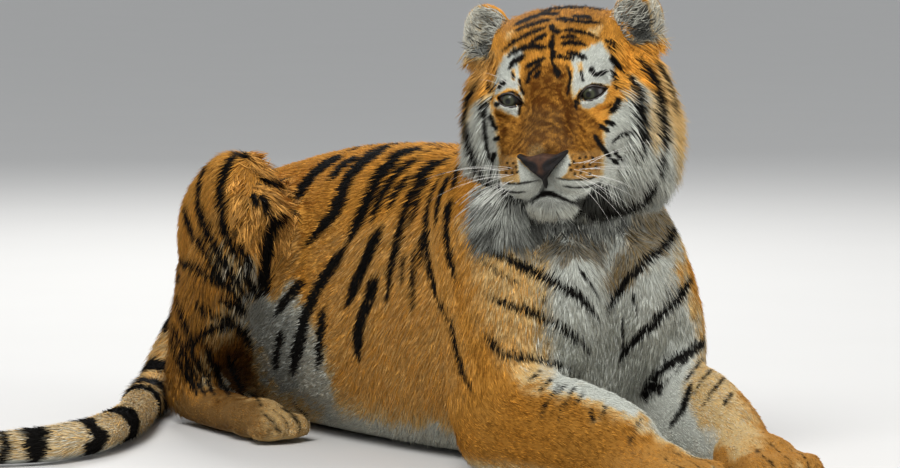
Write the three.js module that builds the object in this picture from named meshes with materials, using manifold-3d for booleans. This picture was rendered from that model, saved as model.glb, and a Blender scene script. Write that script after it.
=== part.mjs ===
// A life-size Siberian tiger that lies on its chest with its head up and turned to its right.
// Millimetres, +Z up. The tiger faces -Y, its right side is -X, and the origin is on the floor
// under the middle of the chest. Each named part of the body is one closed solid.
import * as THREE from "three";
import { mergeVertices } from "three/addons/utils/BufferGeometryUtils.js";
import { ParametricGeometry } from "three/addons/geometries/ParametricGeometry.js";
import Module from "manifold-3d";

const wasm = await Module();
wasm.setup();

// ---- driving dimensions -------------------------------------------------------------------
const gap = 0.3; // between parts that touch
const weld = 1e-3; // corners nearer than this are one
const chestDepth = 470; // withers to floor
const chestHalfWidth = 172;
const trunkLength = 1130; // brisket to rump
const eyeSpacing = 124; // between the pupils
const eyeRadius = 19.5;
const radians = THREE.MathUtils.degToRad;
const headYaw = radians(48); // turned to the tiger's right
const headRoll = radians(5.6); // left eye higher
const eyeMiddle = new THREE.Vector3(-99, -262, 578); // halfway between the eyes

const colours = {
  orange: 0xc8741c,
  cream: 0xd8d0bc,
  nose: 0x8a4a3a,
  eye: 0x8a8a4c,
};

// ---- solids --------------------------------------------------------------------------------
// A closed geometry as a manifold-3d solid, turned the right way out.
function solidOf(geometry) {
  const bare = geometry.clone();
  for (const name of Object.keys(bare.attributes)) {
    if (name !== "position") bare.deleteAttribute(name);
  }
  const merged = mergeVertices(bare, weld);
  const index = merged.index.array;
  const corners = [];
  for (let i = 0; i < index.length; i += 3) {
    const [a, b, c] = [index[i], index[i + 1], index[i + 2]];
    if (a !== b && b !== c && a !== c) corners.push(a, b, c);
  }
  const build = (triVerts) =>
    new wasm.Manifold(
      new wasm.Mesh({
        numProp: 3,
        vertProperties: new Float32Array(merged.attributes.position.array),
        triVerts: new Uint32Array(triVerts),
      }),
    );
  const made = build(corners);
  return made.volume() > 0 ? made : build(corners.reverse());
}

const join = (...solids) => solids.reduce((all, next) => all.add(next));
const cut = (solid, ...tools) => tools.reduce((left, tool) => left.subtract(tool), solid);

// The largest closed surface of a solid, without loose scraps or sealed hollows.
function largest(solid) {
  return solid.decompose().reduce((best, next) => (next.volume() > best.volume() ? next : best));
}

// A repeatable run of numbers between -1 and 1, by Park and Miller's generator.
const prime = 2147483647;
const multiplier = 16807;
function scatter(seed) {
  let state = seed;
  return () => {
    state = (state * multiplier) % prime;
    return (2 * state) / prime - 1;
  };
}

const signedPower = (value, power) => Math.sign(value) * Math.abs(value) ** power;

const curveThrough = (points) => new THREE.CatmullRomCurve3(points, false, "centripetal");

// A round-ended solid through stations: each has a centre, a half width across `side`, a half
// depth, and may state how square its section is. `grow` thickens it all over.
const plainLoft = { side: [1, 0, 0], sides: 14, steps: 8, caps: 2, ends: [0.6, 0.6] };
function loft(stations, options = {}, grow = 0) {
  const { side, sides, steps, caps, ends } = { ...plainLoft, ...options };
  const path = curveThrough(stations.map((s) => new THREE.Vector3(...s.at)));
  const sizes = curveThrough(
    stations.map((s) => new THREE.Vector3(s.wide + grow, (s.deep ?? s.wide) + grow, s.square ?? 2)),
  );
  const across = new THREE.Vector3(...side);
  const rows = steps + 2 * caps;
  const place = (u, v, target) => {
    const row = Math.round(v * rows);
    const fromStart = Math.min(row / caps, 1);
    const fromEnd = Math.min((rows - row) / caps, 1);
    const t = THREE.MathUtils.clamp((row - caps) / steps, 0, 1);
    const centre = path.getPoint(t);
    const size = sizes.getPoint(t);
    const ahead = path.getTangent(t);
    const wide = across.clone().addScaledVector(ahead, -across.dot(ahead)).normalize();
    const deep = ahead.clone().cross(wide);
    const shrink = Math.sin((Math.min(fromStart, fromEnd) * Math.PI) / 2);
    const reach = Math.min(size.x, size.y);
    centre.addScaledVector(ahead, -reach * ends[0] * Math.cos((fromStart * Math.PI) / 2));
    centre.addScaledVector(ahead, reach * ends[1] * Math.cos((fromEnd * Math.PI) / 2));
    const angle = 2 * Math.PI * u;
    const power = 2 / size.z;
    target
      .copy(centre)
      .addScaledVector(wide, size.x * shrink * signedPower(Math.cos(angle), power))
      .addScaledVector(deep, size.y * shrink * signedPower(Math.sin(angle), power));
  };
  return solidOf(new ParametricGeometry(place, sides, rows));
}

// An egg-shaped solid with its three half sizes, in the body's frame or in one given as a matrix.
function egg(at, half, { sides = 12, rows = 8, turn = [0, 0, 0], frame } = {}, grow = 0) {
  const shape = new THREE.SphereGeometry(1, sides, rows);
  shape.scale(...half.map((h) => h + grow));
  shape.applyMatrix4(new THREE.Matrix4().makeRotationFromEuler(new THREE.Euler(...turn)));
  shape.translate(...at);
  if (frame) shape.applyMatrix4(frame);
  return solidOf(shape);
}

function block(low, high) {
  const size = low.map((l, i) => high[i] - l);
  const shape = new THREE.BoxGeometry(...size);
  shape.translate(...low.map((l, i) => l + size[i] / 2));
  return solidOf(shape);
}

// A flat, tapered lock of hair that bends on its way from `root` to `tip` and is broad `across`.
const lockTaper = { root: 0.8, tip: 0.16, thinTip: 0.24 };
function lock({ root, tip, bend, across, width, thickness }) {
  const middle = root.clone().lerp(tip, 0.5).add(bend);
  const [wide, deep] = [width / 2, thickness / 2];
  const stations = [
    { at: root.toArray(), wide: wide * lockTaper.root, deep },
    { at: middle.toArray(), wide, deep },
    { at: tip.toArray(), wide: wide * lockTaper.tip, deep: deep * lockTaper.thinTip },
  ];
  return loft(stations, { side: across.toArray(), sides: 4, steps: 2, caps: 1, ends: [0, 2] });
}

const far = 3000;
const belowFloor = block([-far, -far, -far], [far, far, 0]);

// ---- trunk ---------------------------------------------------------------------------------
// back: top line, belly: bottom line, half: half width, aside: centre line's offset in x
const trunkLine = [
  { y: -246, back: 356, belly: 100, half: 104 },
  { y: -200, back: 414, belly: 40, half: 138 },
  { y: -110, back: 462, belly: -4, half: 164 },
  { y: 20, back: chestDepth + 10, belly: -10, half: chestHalfWidth },
  { y: 170, back: chestDepth + 14, belly: -12, half: chestHalfWidth + 14 },
  { y: 330, back: 474, belly: -12, half: chestHalfWidth + 14 },
  { y: 480, back: 446, belly: -10, half: 170 },
  { y: 620, back: 412, belly: -10, half: 158 },
  { y: 728, back: 366, belly: -6, half: 138 },
  { y: trunkLength - 318, back: 298, belly: 16, half: 100 },
];
const barrel = (grow = 0) =>
  loft(
    trunkLine.map((s) => ({
      at: [0, s.y, (s.back + s.belly) / 2],
      wide: s.half,
      deep: (s.back - s.belly) / 2,
      square: 2.2,
    })),
    { sides: 22, steps: 16, caps: 3, ends: [0.25, 0.5] },
    grow,
  );
// A breast muscle on each side, with a furrow between the two.
const breastShape = { aside: 62, front: -238, height: 244, half: [76, 74, 128], lean: 0.12 };
const breast = (sign, grow = 0) => {
  const { aside, front, height, half, lean } = breastShape;
  return egg([sign * aside, front, height], half, { sides: 12, rows: 8, turn: [lean, 0, 0] }, grow);
};
const trunk = (grow = 0) => join(barrel(grow), breast(-1, grow), breast(1, grow));

// ---- forelegs ------------------------------------------------------------------------------
// Written for the right side, which is -x; the left side mirrors it unless it has its own.
const shoulderStations = [
  { at: [-92, -36, 418], wide: 58, deep: 84 },
  { at: [-124, -118, 352], wide: 70, deep: 108 },
  { at: [-142, -164, 266], wide: 66, deep: 106 },
  { at: [-152, -182, 172], wide: 62, deep: 94 },
  { at: [-154, -176, 84], wide: 56, deep: 80 },
];
const leftAside = [0, 6, 11, 20, 16]; // how much further out the left shoulder's stations are
const leftShoulderStations = shoulderStations.map((s, i) => ({
  ...s,
  at: [leftAside[i] - s.at[0], s.at[1], s.at[2]],
}));
const forearmStations = {
  right: [
    { at: [-154, -170, 78], wide: 62, deep: 84 },
    { at: [-150, -240, 86], wide: 66, deep: 94 },
    { at: [-136, -345, 82], wide: 60, deep: 90 },
    { at: [-120, -435, 70], wide: 54, deep: 84 },
    { at: [-111, -500, 58], wide: 48, deep: 70 },
  ],
  left: [
    { at: [158, -170, 86], wide: 64, deep: 84 },
    { at: [151, -265, 88], wide: 63, deep: 86 },
    { at: [130, -370, 76], wide: 58, deep: 76 },
    { at: [98, -480, 54], wide: 48, deep: 58 },
  ],
};
const upperArm = {
  right: (grow = 0) => loft(shoulderStations, { sides: 14, steps: 8 }, grow),
  left: (grow = 0) => loft(leftShoulderStations, { sides: 14, steps: 8 }, grow),
};
const forearm = {
  right: (grow = 0) => loft(forearmStations.right, { sides: 14, steps: 6 }, grow),
  left: (grow = 0) => loft(forearmStations.left, { sides: 14, steps: 6 }, grow),
};

// A paw that lies flat: a palm and four toes that fan out, the two middle ones furthest. Sizes are
// shares of the paw's length, width and height.
const palmShape = { back: 0.36, rise: 0.46, half: [0.48, 0.42, 0.52] };
const toeShape = { pitch: 0.235, reach: 0.74, more: 0.1, rise: 0.36, half: [0.15, 0.2, 0.4], fan: 0.09 };
const toeSteps = [-1.5, -0.5, 0.5, 1.5];
function paw(wrist, heading, { long, wide, high }, grow = 0) {
  const frame = new THREE.Matrix4()
    .makeTranslation(...wrist)
    .multiply(new THREE.Matrix4().makeRotationZ(heading));
  const sized = ([x, y, z]) => [x * wide, y * long, z * high];
  const palmAt = sized([0, -palmShape.back, palmShape.rise]);
  const palm = egg(palmAt, sized(palmShape.half), { sides: 10, rows: 6, frame }, grow);
  const toes = toeSteps.map((step) => {
    const reach = toeShape.reach + toeShape.more * (1 - Math.abs(step) / toeSteps.at(-1));
    const at = sized([step * toeShape.pitch, -reach, toeShape.rise]);
    const turn = [0, 0, step * toeShape.fan];
    return egg(at, sized(toeShape.half), { sides: 6, rows: 5, turn, frame }, grow);
  });
  return join(palm, ...toes);
}
const frontPaw = { long: 190, wide: 138, high: 94 };
const frontPawTurn = 0.16; // both turn in a little
const forepaw = {
  right: (grow = 0) => paw([-114, -450, 0], frontPawTurn, frontPaw, grow),
  left: (grow = 0) => paw([94, -462, 0], -frontPawTurn, frontPaw, grow),
};

// ---- hind legs -----------------------------------------------------------------------------
// The right knee stands up beside the flank; the left thigh lies over to the left on the floor.
const thighStations = {
  right: [
    { at: [-84, 676, 238], wide: 76, deep: 110 },
    { at: [-128, 602, 284], wide: 80, deep: 128 },
    { at: [-176, 502, 352], wide: 72, deep: 104 },
    { at: [-212, 420, 398], wide: 60, deep: 76 },
  ],
  left: [
    { at: [92, 672, 215], wide: 86, deep: 112 },
    { at: [150, 580, 190], wide: 92, deep: 118 },
    { at: [208, 480, 158], wide: 80, deep: 98 },
    { at: [238, 410, 130], wide: 62, deep: 74 },
  ],
};
const shankStations = {
  right: [
    { at: [-218, 400, 392], wide: 58, deep: 72 },
    { at: [-216, 452, 290], wide: 62, deep: 98 },
    { at: [-208, 530, 196], wide: 56, deep: 86 },
    { at: [-200, 590, 104], wide: 42, deep: 56 },
    { at: [-198, 614, 52], wide: 36, deep: 42 },
  ],
  left: [
    { at: [246, 408, 108], wide: 56, deep: 58 },
    { at: [250, 490, 84], wide: 58, deep: 60 },
    { at: [232, 600, 66], wide: 48, deep: 50 },
    { at: [204, 700, 50], wide: 36, deep: 38 },
  ],
};
const footStations = {
  right: [
    { at: [-198, 612, 40], wide: 34, deep: 36 },
    { at: [-206, 520, 36], wide: 38, deep: 36 },
    { at: [-214, 430, 34], wide: 42, deep: 34 },
  ],
  left: [
    { at: [206, 712, 38], wide: 34, deep: 36 },
    { at: [262, 640, 34], wide: 38, deep: 34 },
    { at: [310, 560, 32], wide: 42, deep: 32 },
  ],
};
// Long hair that hangs from the front of the raised knee and shin, in columns down the limb. A
// column's `turn` is its bearing in degrees about the shin, `first` and `last` its span along it.
const kneeHair = { width: 62, thickness: 15, long: 96, stand: 30, bend: 14, sunk: 14 };
const kneeColumns = [
  { turn: -146, first: 0.0, last: 0.3, rows: 3 },
  { turn: -104, first: 0.0, last: 0.44, rows: 4 },
  { turn: -62, first: 0.0, last: 0.38, rows: 4 },
];
const kneeVariety = { step: 0.25, turn: 8, long: 0.15 };
function kneeLocks() {
  const vary = scatter(7);
  const shin = curveThrough(shankStations.right.map((s) => new THREE.Vector3(...s.at)));
  const { wide, deep } = shankStations.right[0];
  const locks = [];
  for (const { turn, first, last, rows } of kneeColumns) {
    for (let i = 0; i < rows; i++) {
      const along = first + ((last - first) * (i + kneeVariety.step * (1 + vary()))) / rows;
      const angle = radians(turn + kneeVariety.turn * vary());
      const outward = new THREE.Vector3(Math.cos(angle), Math.sin(angle), 0);
      const rim = Math.hypot(wide * outward.x, deep * outward.y);
      const root = shin.getPoint(along).addScaledVector(outward, rim - kneeHair.sunk);
      const long = kneeHair.long * (1 + kneeVariety.long * vary());
      const tip = root.clone().addScaledVector(shin.getTangent(along), long);
      tip.addScaledVector(outward, kneeHair.sunk + kneeHair.stand);
      const bend = outward.clone().multiplyScalar(kneeHair.bend);
      const across = new THREE.Vector3(-outward.y, outward.x, 0);
      locks.push(lock({ root, tip, bend, across, width: kneeHair.width, thickness: kneeHair.thickness }));
    }
  }
  return locks;
}

const sidesOf = (stations, options) => ({
  right: (grow = 0) => loft(stations.right, options, grow),
  left: (grow = 0) => loft(stations.left, options, grow),
});
const thigh = sidesOf(thighStations, { sides: 14, steps: 8 });
const shank = sidesOf(shankStations, { sides: 12, steps: 7 });
const metatarsus = sidesOf(footStations, { sides: 9, steps: 3 });
const hindPawSize = { long: 160, wide: 112, high: 72 };
const hindFoot = {
  right: (grow = 0) => join(metatarsus.right(grow), paw([-214, 440, 0], 0.02, hindPawSize, grow)),
  left: (grow = 0) => join(metatarsus.left(grow), paw([306, 568, 0], 0.55, hindPawSize, grow)),
};

// ---- tail ----------------------------------------------------------------------------------
const tailStations = [
  { at: [4, 762, 232], wide: 56, deep: 58 },
  { at: [-24, 848, 160], wide: 46, deep: 48 },
  { at: [-70, 868, 84], wide: 40, deep: 41 },
  { at: [-144, 798, 36], wide: 37, deep: 37 },
  { at: [-244, 684, 32], wide: 35, deep: 34 },
  { at: [-342, 546, 31], wide: 34, deep: 33 },
  { at: [-424, 452, 31], wide: 34, deep: 33 },
  { at: [-520, 366, 31], wide: 34, deep: 33 },
  { at: [-632, 318, 30], wide: 33, deep: 32 },
  { at: [-736, 350, 28], wide: 30, deep: 29 },
  { at: [-790, 402, 23], wide: 22, deep: 23 },
];
const tailLengths = {
  tail_root: { first: 0, last: 4, side: [0.8, -0.6, 0] },
  tail_middle: { first: 4, last: 7, side: [0, 0, 1] },
  tail_tip: { first: 7, last: 10, side: [0, 0, 1] },
};
const tailPart = ({ first, last, side }, grow = 0) => {
  const steps = (last - first) * 2;
  return loft(tailStations.slice(first, last + 1), { side, sides: 10, steps, ends: [0.3, 0.6] }, grow);
};

// ---- neck ----------------------------------------------------------------------------------
const neckStations = [
  { at: [0, -56, 320], wide: 152, deep: 172 },
  { at: [4, -104, 410], wide: 146, deep: 160 },
  { at: [16, -132, 500], wide: 128, deep: 132 },
  { at: [28, -150, 580], wide: 104, deep: 98 },
];
const neck = (grow = 0) => loft(neckStations, { sides: 14, steps: 4 }, grow);

// ---- head ----------------------------------------------------------------------------------
// The head has its own frame: u to its left, v up, w forward, from the point between the eyes.
const headFrame = new THREE.Matrix4()
  .makeTranslation(eyeMiddle.x, eyeMiddle.y, eyeMiddle.z)
  .multiply(new THREE.Matrix4().makeRotationZ(-headYaw))
  .multiply(new THREE.Matrix4().makeRotationX(Math.PI / 2))
  .multiply(new THREE.Matrix4().makeRotationZ(headRoll));

// Masses of the head as eggs: centre, half sizes and how softly each melts into the rest.
const skullMasses = [
  { name: "cranium", at: [0, 29, -116], half: [116, 100, 106], melt: 20 },
  { name: "forehead", at: [0, 40, -54], half: [86, 60, 54], melt: 30 },
  { name: "brow", at: [48, 28, -25], half: [32, 17, 25], melt: 18, both: true },
  { name: "socket", at: [62, 0, -32], half: [32, 26, 28], melt: 12, both: true },
  { name: "cheekbone", at: [84, -28, -60], half: [46, 44, 52], melt: 30, both: true },
  { name: "cheek", at: [64, -62, -36], half: [46, 48, 50], melt: 30, both: true },
  { name: "jowl", at: [78, -88, -92], half: [62, 80, 64], melt: 36, both: true },
  { name: "bridge", at: [0, -26, -8], half: [42, 44, 44], melt: 26 },
  { name: "bridgeTip", at: [0, -64, 36], half: [37, 30, 44], melt: 24 },
  { name: "muzzle", at: [0, -88, 4], half: [68, 46, 60], melt: 30 },
  { name: "pad", at: [38, -101, 44], half: [38, 32, 43], melt: 12, both: true },
  { name: "throat", at: [0, -118, -88], half: [100, 72, 80], melt: 36 },
];
const jawMasses = [
  { name: "chin", at: [0, -146, 38], half: [40, 27, 35], melt: 16 },
  { name: "jaw", at: [0, -138, -12], half: [62, 34, 56], melt: 22 },
];

// Distance from a point to an egg's surface, near enough for moulding.
function toEgg(point, at, half) {
  const d = point.map((p, i) => (p - at[i]) / half[i]);
  const e = point.map((p, i) => (p - at[i]) / half[i] ** 2);
  const k = Math.hypot(...d);
  return (k * (k - 1)) / Math.max(Math.hypot(...e), 1e-9);
}

function melted(point, masses) {
  let field = Infinity;
  for (const mass of masses) {
    const copies = mass.both ? [mass.at, [-mass.at[0], mass.at[1], mass.at[2]]] : [mass.at];
    for (const at of copies) {
      const next = toEgg(point, at, mass.half);
      const mix = Math.max(mass.melt - Math.abs(field - next), 0) / mass.melt;
      field = Math.min(field, next) - (Number.isFinite(field) ? (mix * mix * mass.melt) / 4 : 0);
    }
  }
  return field;
}

const firstReach = 8; // step of the search for the skin along a ray
const halvings = 10;

// A sphere pushed out from a heart along its rays until it meets the melted masses' skin. Its
// pole looks along `aim`, tilted in the plane of symmetry, and its rows crowd towards it.
function moulded(masses, { heart, aim, sides, rows, crowd }, grow = 0) {
  const pole = new THREE.Vector3(0, Math.sin(aim), Math.cos(aim));
  const rise = new THREE.Vector3(0, Math.cos(aim), -Math.sin(aim));
  const ray = new THREE.Vector3();
  const place = (u, v, target) => {
    const lean = Math.PI * v ** crowd;
    const round = 2 * Math.PI * u;
    ray.copy(pole).multiplyScalar(Math.cos(lean));
    ray.addScaledVector(rise, Math.sin(lean) * Math.sin(round));
    ray.x = Math.sin(lean) * Math.cos(round);
    let low = 0;
    let high = firstReach;
    const inside = (reach) => melted(heart.map((h, i) => h + ray.getComponent(i) * reach), masses) < grow;
    while (inside(high)) [low, high] = [high, high + firstReach];
    for (let halving = 0; halving < halvings; halving++) {
      const reach = (low + high) / 2;
      if (inside(reach)) low = reach;
      else high = reach;
    }
    target.set(...heart).addScaledVector(ray, low);
  };
  const shape = new ParametricGeometry(place, sides, rows);
  shape.applyMatrix4(headFrame);
  return solidOf(shape);
}

const skullMesh = { heart: [0, -40, -60], aim: -0.42, sides: 32, rows: 23, crowd: 1.35 };
const jawMesh = { heart: [0, -142, 14], aim: 0, sides: 14, rows: 10, crowd: 1.1 };
const skull = (grow = 0) => moulded(skullMasses, skullMesh, grow);
const jaw = (grow = 0) => moulded(jawMasses, jawMesh, grow);

// The ruff: rows of locks round the cheeks and throat. Angles are in degrees about the line of
// sight, 0 at the side and -90 under the throat; `reach` is how far the tips stand from the heart,
// `shy` how far the tips of a row stay inside that.
const ruffHeart = [0, -30];
const ruffRows = [
  { depth: -38, top: -26, bottom: -90, count: 4, shy: 32 },
  { depth: -66, top: 10, bottom: -88, count: 7, shy: 16 },
  { depth: -96, top: 38, bottom: -84, count: 8, shy: 0 },
  { depth: -124, top: 40, bottom: -74, count: 6, shy: 8 },
];
const ruffReach = [
  { angle: 40, reach: 168 },
  { angle: 0, reach: 170 },
  { angle: -30, reach: 202 },
  { angle: -60, reach: 208 },
  { angle: -90, reach: 196 },
];
const ruffHair = { width: 54, thickness: 15, sunk: 14, stand: 14, back: 30, droop: 36, bend: 12 };
const ruffVariety = { step: 0.25, reach: 6, droop: 0.2, back: 0.3, width: 0.2 };

// The value beside `at` in a table ordered by falling angle.
function reachAt(angle) {
  const i = Math.max(1, ruffReach.findIndex((row) => row.angle <= angle));
  const [a, b] = [ruffReach[i - 1], ruffReach[i]];
  const t = THREE.MathUtils.clamp((angle - a.angle) / (b.angle - a.angle), 0, 1);
  return THREE.MathUtils.lerp(a.reach, b.reach, t);
}

function ruffLock({ depth, shy }, degrees, sign, vary) {
  const angle = radians(degrees);
  const outward = new THREE.Vector3(sign * Math.cos(angle), Math.sin(angle), 0);
  const across = new THREE.Vector3(-sign * Math.sin(angle), Math.cos(angle), 0);
  const heart = new THREE.Vector3(...ruffHeart, depth);
  let skin = 0;
  while (melted(heart.clone().addScaledVector(outward, skin).toArray(), skullMasses) < 0) skin += 2;
  const reach = reachAt(degrees) - shy + ruffVariety.reach * vary();
  const root = heart.clone().addScaledVector(outward, skin - ruffHair.sunk);
  const tip = heart.clone().addScaledVector(outward, Math.max(reach, skin + ruffHair.stand));
  const hang = ruffHair.droop * Math.cos(angle);
  root.y += hang * 0.6;
  tip.y -= hang * (0.5 + ruffVariety.droop * vary());
  tip.z -= ruffHair.back * (1 + ruffVariety.back * vary());
  const bend = new THREE.Vector3(0, 0, ruffHair.bend).addScaledVector(outward, ruffHair.bend);
  const long = bend.length();
  for (const point of [root, tip]) point.applyMatrix4(headFrame);
  bend.transformDirection(headFrame).multiplyScalar(long);
  across.transformDirection(headFrame);
  const width = ruffHair.width * (1 + ruffVariety.width * vary());
  return lock({ root, tip, bend, across, width, thickness: ruffHair.thickness });
}

function ruff() {
  const vary = scatter(29);
  const locks = [];
  for (const row of ruffRows) {
    for (const sign of [-1, 1]) {
      for (let i = 0; i < row.count; i++) {
        const share = (i + 0.5 + ruffVariety.step * vary()) / row.count;
        const degrees = row.top + (row.bottom - row.top) * share;
        locks.push(ruffLock(row, degrees, sign, vary));
      }
    }
  }
  return locks;
}

const noseAt = [0, -91, 70];
const noseHalf = [37, 19, 25];
const nostrilShape = { aside: 19, drop: 4, front: 90, half: [8, 5.5, 10], slant: 0.5 };
const nose = (grow = 0) => {
  const pad = egg(noseAt, noseHalf, { sides: 12, rows: 8, frame: headFrame }, grow);
  const nostril = (sign) => {
    const { aside, drop, front, half, slant } = nostrilShape;
    const at = [sign * aside, noseAt[1] - drop, front];
    return egg(at, half, { sides: 8, rows: 6, turn: [0, 0, sign * slant], frame: headFrame });
  };
  return grow ? pad : cut(pad, nostril(-1), nostril(1));
};

const eyeDepth = 14; // the eye's middle lies this far behind the head frame's origin
const eyeAt = (sign) => [(sign * eyeSpacing) / 2, 0, -eyeDepth];
const eyeBall = (sign, grow = 0) =>
  egg(eyeAt(sign), [eyeRadius, eyeRadius, eyeRadius], { sides: 12, rows: 9, frame: headFrame }, grow);

// Lids: thick arcs from the inner to the outer corner of each eye, over and under the ball, each
// point given from the ball's middle as along, up and out.
const lidLines = {
  upper: [[-25, -9, 6], [-15, 5, 17], [0, 12.5, 17.5], [14, 10.5, 13], [23, 2, 2]],
  lower: [[-25, -10, 6], [-13, -11, 16], [1, -13.5, 16], [14, -9.5, 12.5], [23, 0, 1]],
};
const lidThickness = { upper: 5.5, lower: 4.2 };
const cornerShare = 0.7; // a lid is this much as thick at the corners
const lid = (sign, which) => {
  const [x, y, z] = eyeAt(sign);
  const line = lidLines[which];
  const stations = line.map(([along, up, out], i) => {
    const corner = i === 0 || i === line.length - 1;
    const at = new THREE.Vector3(x + sign * along, y + up, z + out).applyMatrix4(headFrame);
    return { at: at.toArray(), wide: lidThickness[which] * (corner ? cornerShare : 1) };
  });
  return loft(stations, { side: [0, 0, 1], sides: 6, steps: 6 });
};

const earShell = { aside: 116, up: 100, back: -128, half: [41, 47, 24] };
const earCup = { aside: 118, up: 103, back: -110, half: [32, 38, 24] };
const earTurn = { nod: -0.25, yaw: 0.35, splay: -0.42 };
const earForm = ({ aside, up, back, half }, sign, grow = 0) => {
  const turn = [earTurn.nod, sign * earTurn.yaw, sign * earTurn.splay];
  return egg([sign * aside, up, back], half, { turn, frame: headFrame, sides: 11, rows: 8 }, grow);
};
const ear = (sign) => cut(earForm(earShell, sign), earForm(earCup, sign));

// ---- assembly ------------------------------------------------------------------------------
const slabs = (from, to) => block([-far, from, -far], [far, to, far]);
const parts = new Map();
const add = (name, solid, colour) => {
  parts.set(name, { solid: largest(cut(solid, belowFloor)), colour });
};

const loinsFrom = 200;
const loinsTo = 560;
const body = trunk();
add("chest", body.intersect(slabs(-far, loinsFrom - gap / 2)), "orange");
add("loins", body.intersect(slabs(loinsFrom + gap / 2, loinsTo - gap / 2)), "orange");
add("rump", body.intersect(slabs(loinsTo + gap / 2, far)), "orange");

const grownTrunk = trunk(gap);
for (const side of ["right", "left"]) {
  const grownThigh = thigh[side](gap);
  const shin = side === "right" ? join(shank.right(), ...kneeLocks()) : shank.left();
  add(`${side}_upper_arm`, cut(upperArm[side](), grownTrunk), "orange");
  add(`${side}_forearm`, cut(forearm[side](), grownTrunk, upperArm[side](gap)), "orange");
  add(`${side}_forepaw`, cut(forepaw[side](), forearm[side](gap)), "orange");
  add(`${side}_thigh`, cut(thigh[side](), grownTrunk), "orange");
  add(`${side}_shank`, cut(shin, grownTrunk, grownThigh), "orange");
  add(`${side}_hind_foot`, cut(hindFoot[side](), grownTrunk, grownThigh, shank[side](gap)), "orange");
}

const grownBody = [grownTrunk, upperArm.right(gap), upperArm.left(gap)];
const grownSkull = skull(gap);
const lids = [-1, 1].flatMap((sign) => ["upper", "lower"].map((which) => lid(sign, which)));
const grownEars = [earForm(earShell, -1, gap), earForm(earShell, 1, gap)];
const clearRuff = cut(join(...ruff()), jaw(gap), neck(gap), ...grownEars);
const fullHead = join(skull(), ...lids, clearRuff);
add("head", cut(fullHead, ...grownBody, nose(gap), eyeBall(-1, gap), eyeBall(1, gap)), "orange");
add("nose", nose(), "nose");
add("lower_jaw", cut(jaw(), grownSkull, nose(gap)), "cream");
add("neck", cut(neck(), ...grownBody, grownSkull, jaw(gap)), "cream");
for (const [side, sign] of [["right", -1], ["left", 1]]) {
  add(`${side}_eye`, eyeBall(sign), "eye");
  add(`${side}_ear`, cut(ear(sign), grownSkull), "cream");
}

const tailNames = Object.keys(tailLengths);
tailNames.forEach((name, i) => {
  const before = tailNames.slice(0, i).map((other) => tailPart(tailLengths[other], gap));
  add(name, cut(tailPart(tailLengths[name]), grownTrunk, ...before), "orange");
});

const tiger = new THREE.Group();
for (const [name, { solid, colour }] of parts) {
  const mesh = solid.getMesh();
  const geometry = new THREE.BufferGeometry()
    .setAttribute("position", new THREE.BufferAttribute(new Float32Array(mesh.vertProperties), 3))
    .setIndex(new THREE.BufferAttribute(new Uint32Array(mesh.triVerts), 1));
  geometry.computeVertexNormals();
  const finish = new THREE.MeshStandardMaterial({ color: colours[colour], roughness: 0.85, metalness: 0 });
  const piece = new THREE.Mesh(geometry, finish);
  piece.name = name;
  tiger.add(piece);
}

export default tiger;
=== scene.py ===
# Dresses the still, life-size Siberian tiger: one skin over the flesh, a coat of tufts that
# follows its lie, stripes on both, and the eyes, lids, nose, lips and whiskers. Metres, +Z up.
import math

import bpy
import numpy as np
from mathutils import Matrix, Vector
from mathutils.bvhtree import BVHTree


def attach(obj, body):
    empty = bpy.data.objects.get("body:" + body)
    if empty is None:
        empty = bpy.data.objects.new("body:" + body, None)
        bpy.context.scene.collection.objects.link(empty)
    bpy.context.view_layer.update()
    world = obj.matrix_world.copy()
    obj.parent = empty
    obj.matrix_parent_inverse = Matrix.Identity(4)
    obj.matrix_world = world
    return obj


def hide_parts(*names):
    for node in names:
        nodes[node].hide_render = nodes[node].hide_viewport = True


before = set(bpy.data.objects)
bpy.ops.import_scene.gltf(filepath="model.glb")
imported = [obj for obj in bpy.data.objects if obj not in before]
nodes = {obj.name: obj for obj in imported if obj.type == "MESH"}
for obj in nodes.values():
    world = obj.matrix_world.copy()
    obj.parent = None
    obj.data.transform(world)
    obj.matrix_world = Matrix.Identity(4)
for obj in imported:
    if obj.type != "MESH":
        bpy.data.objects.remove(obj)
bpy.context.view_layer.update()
print("frame loaded:", len(nodes), "nodes")

# the camera, for a picture 900 by 468 pixels
view = {
    "azimuth": -35.0, "elevation": 5.0, "distance": 7.0, "target": (-0.2334, -0.1898, 0.3733),
    "wide": 900, "high": 468, "focalPixels": 4666.7, "sensor": 36.0, "metresPerPixel": 0.0015,
}


def cameraBasis():
    turn, rise = math.radians(view["azimuth"]), math.radians(view["elevation"])
    flat = np.array([math.sin(turn), -math.cos(turn), 0.0])
    back = flat * math.cos(rise) + np.array([0.0, 0.0, math.sin(rise)])
    right = np.array([math.cos(turn), math.sin(turn), 0.0])
    return right, np.cross(back, right), back


cameraRight, cameraUp, cameraBack = cameraBasis()
cameraPlace = np.array(view["target"]) + view["distance"] * cameraBack


def pixelRay(x, y):
    across = (x - view["wide"] / 2) / view["focalPixels"]
    down = (y - view["high"] / 2) / view["focalPixels"]
    ray = across * cameraRight - down * cameraUp - cameraBack
    return ray / np.linalg.norm(ray)


def makeCamera():
    data = bpy.data.cameras.new("camera")
    data.sensor_width = view["sensor"]
    data.lens = view["focalPixels"] * view["sensor"] / view["wide"]
    data.dof.use_dof = False
    camera = bpy.data.objects.new("camera", data)
    camera.location = cameraPlace
    camera.rotation_euler = Vector(-cameraBack).to_track_quat("-Z", "Y").to_euler()
    bpy.context.scene.collection.objects.link(camera)
    bpy.context.scene.camera = camera


makeCamera()


def unit(v):
    return v / np.maximum(np.linalg.norm(v, axis=-1, keepdims=True), 1e-9)


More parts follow.
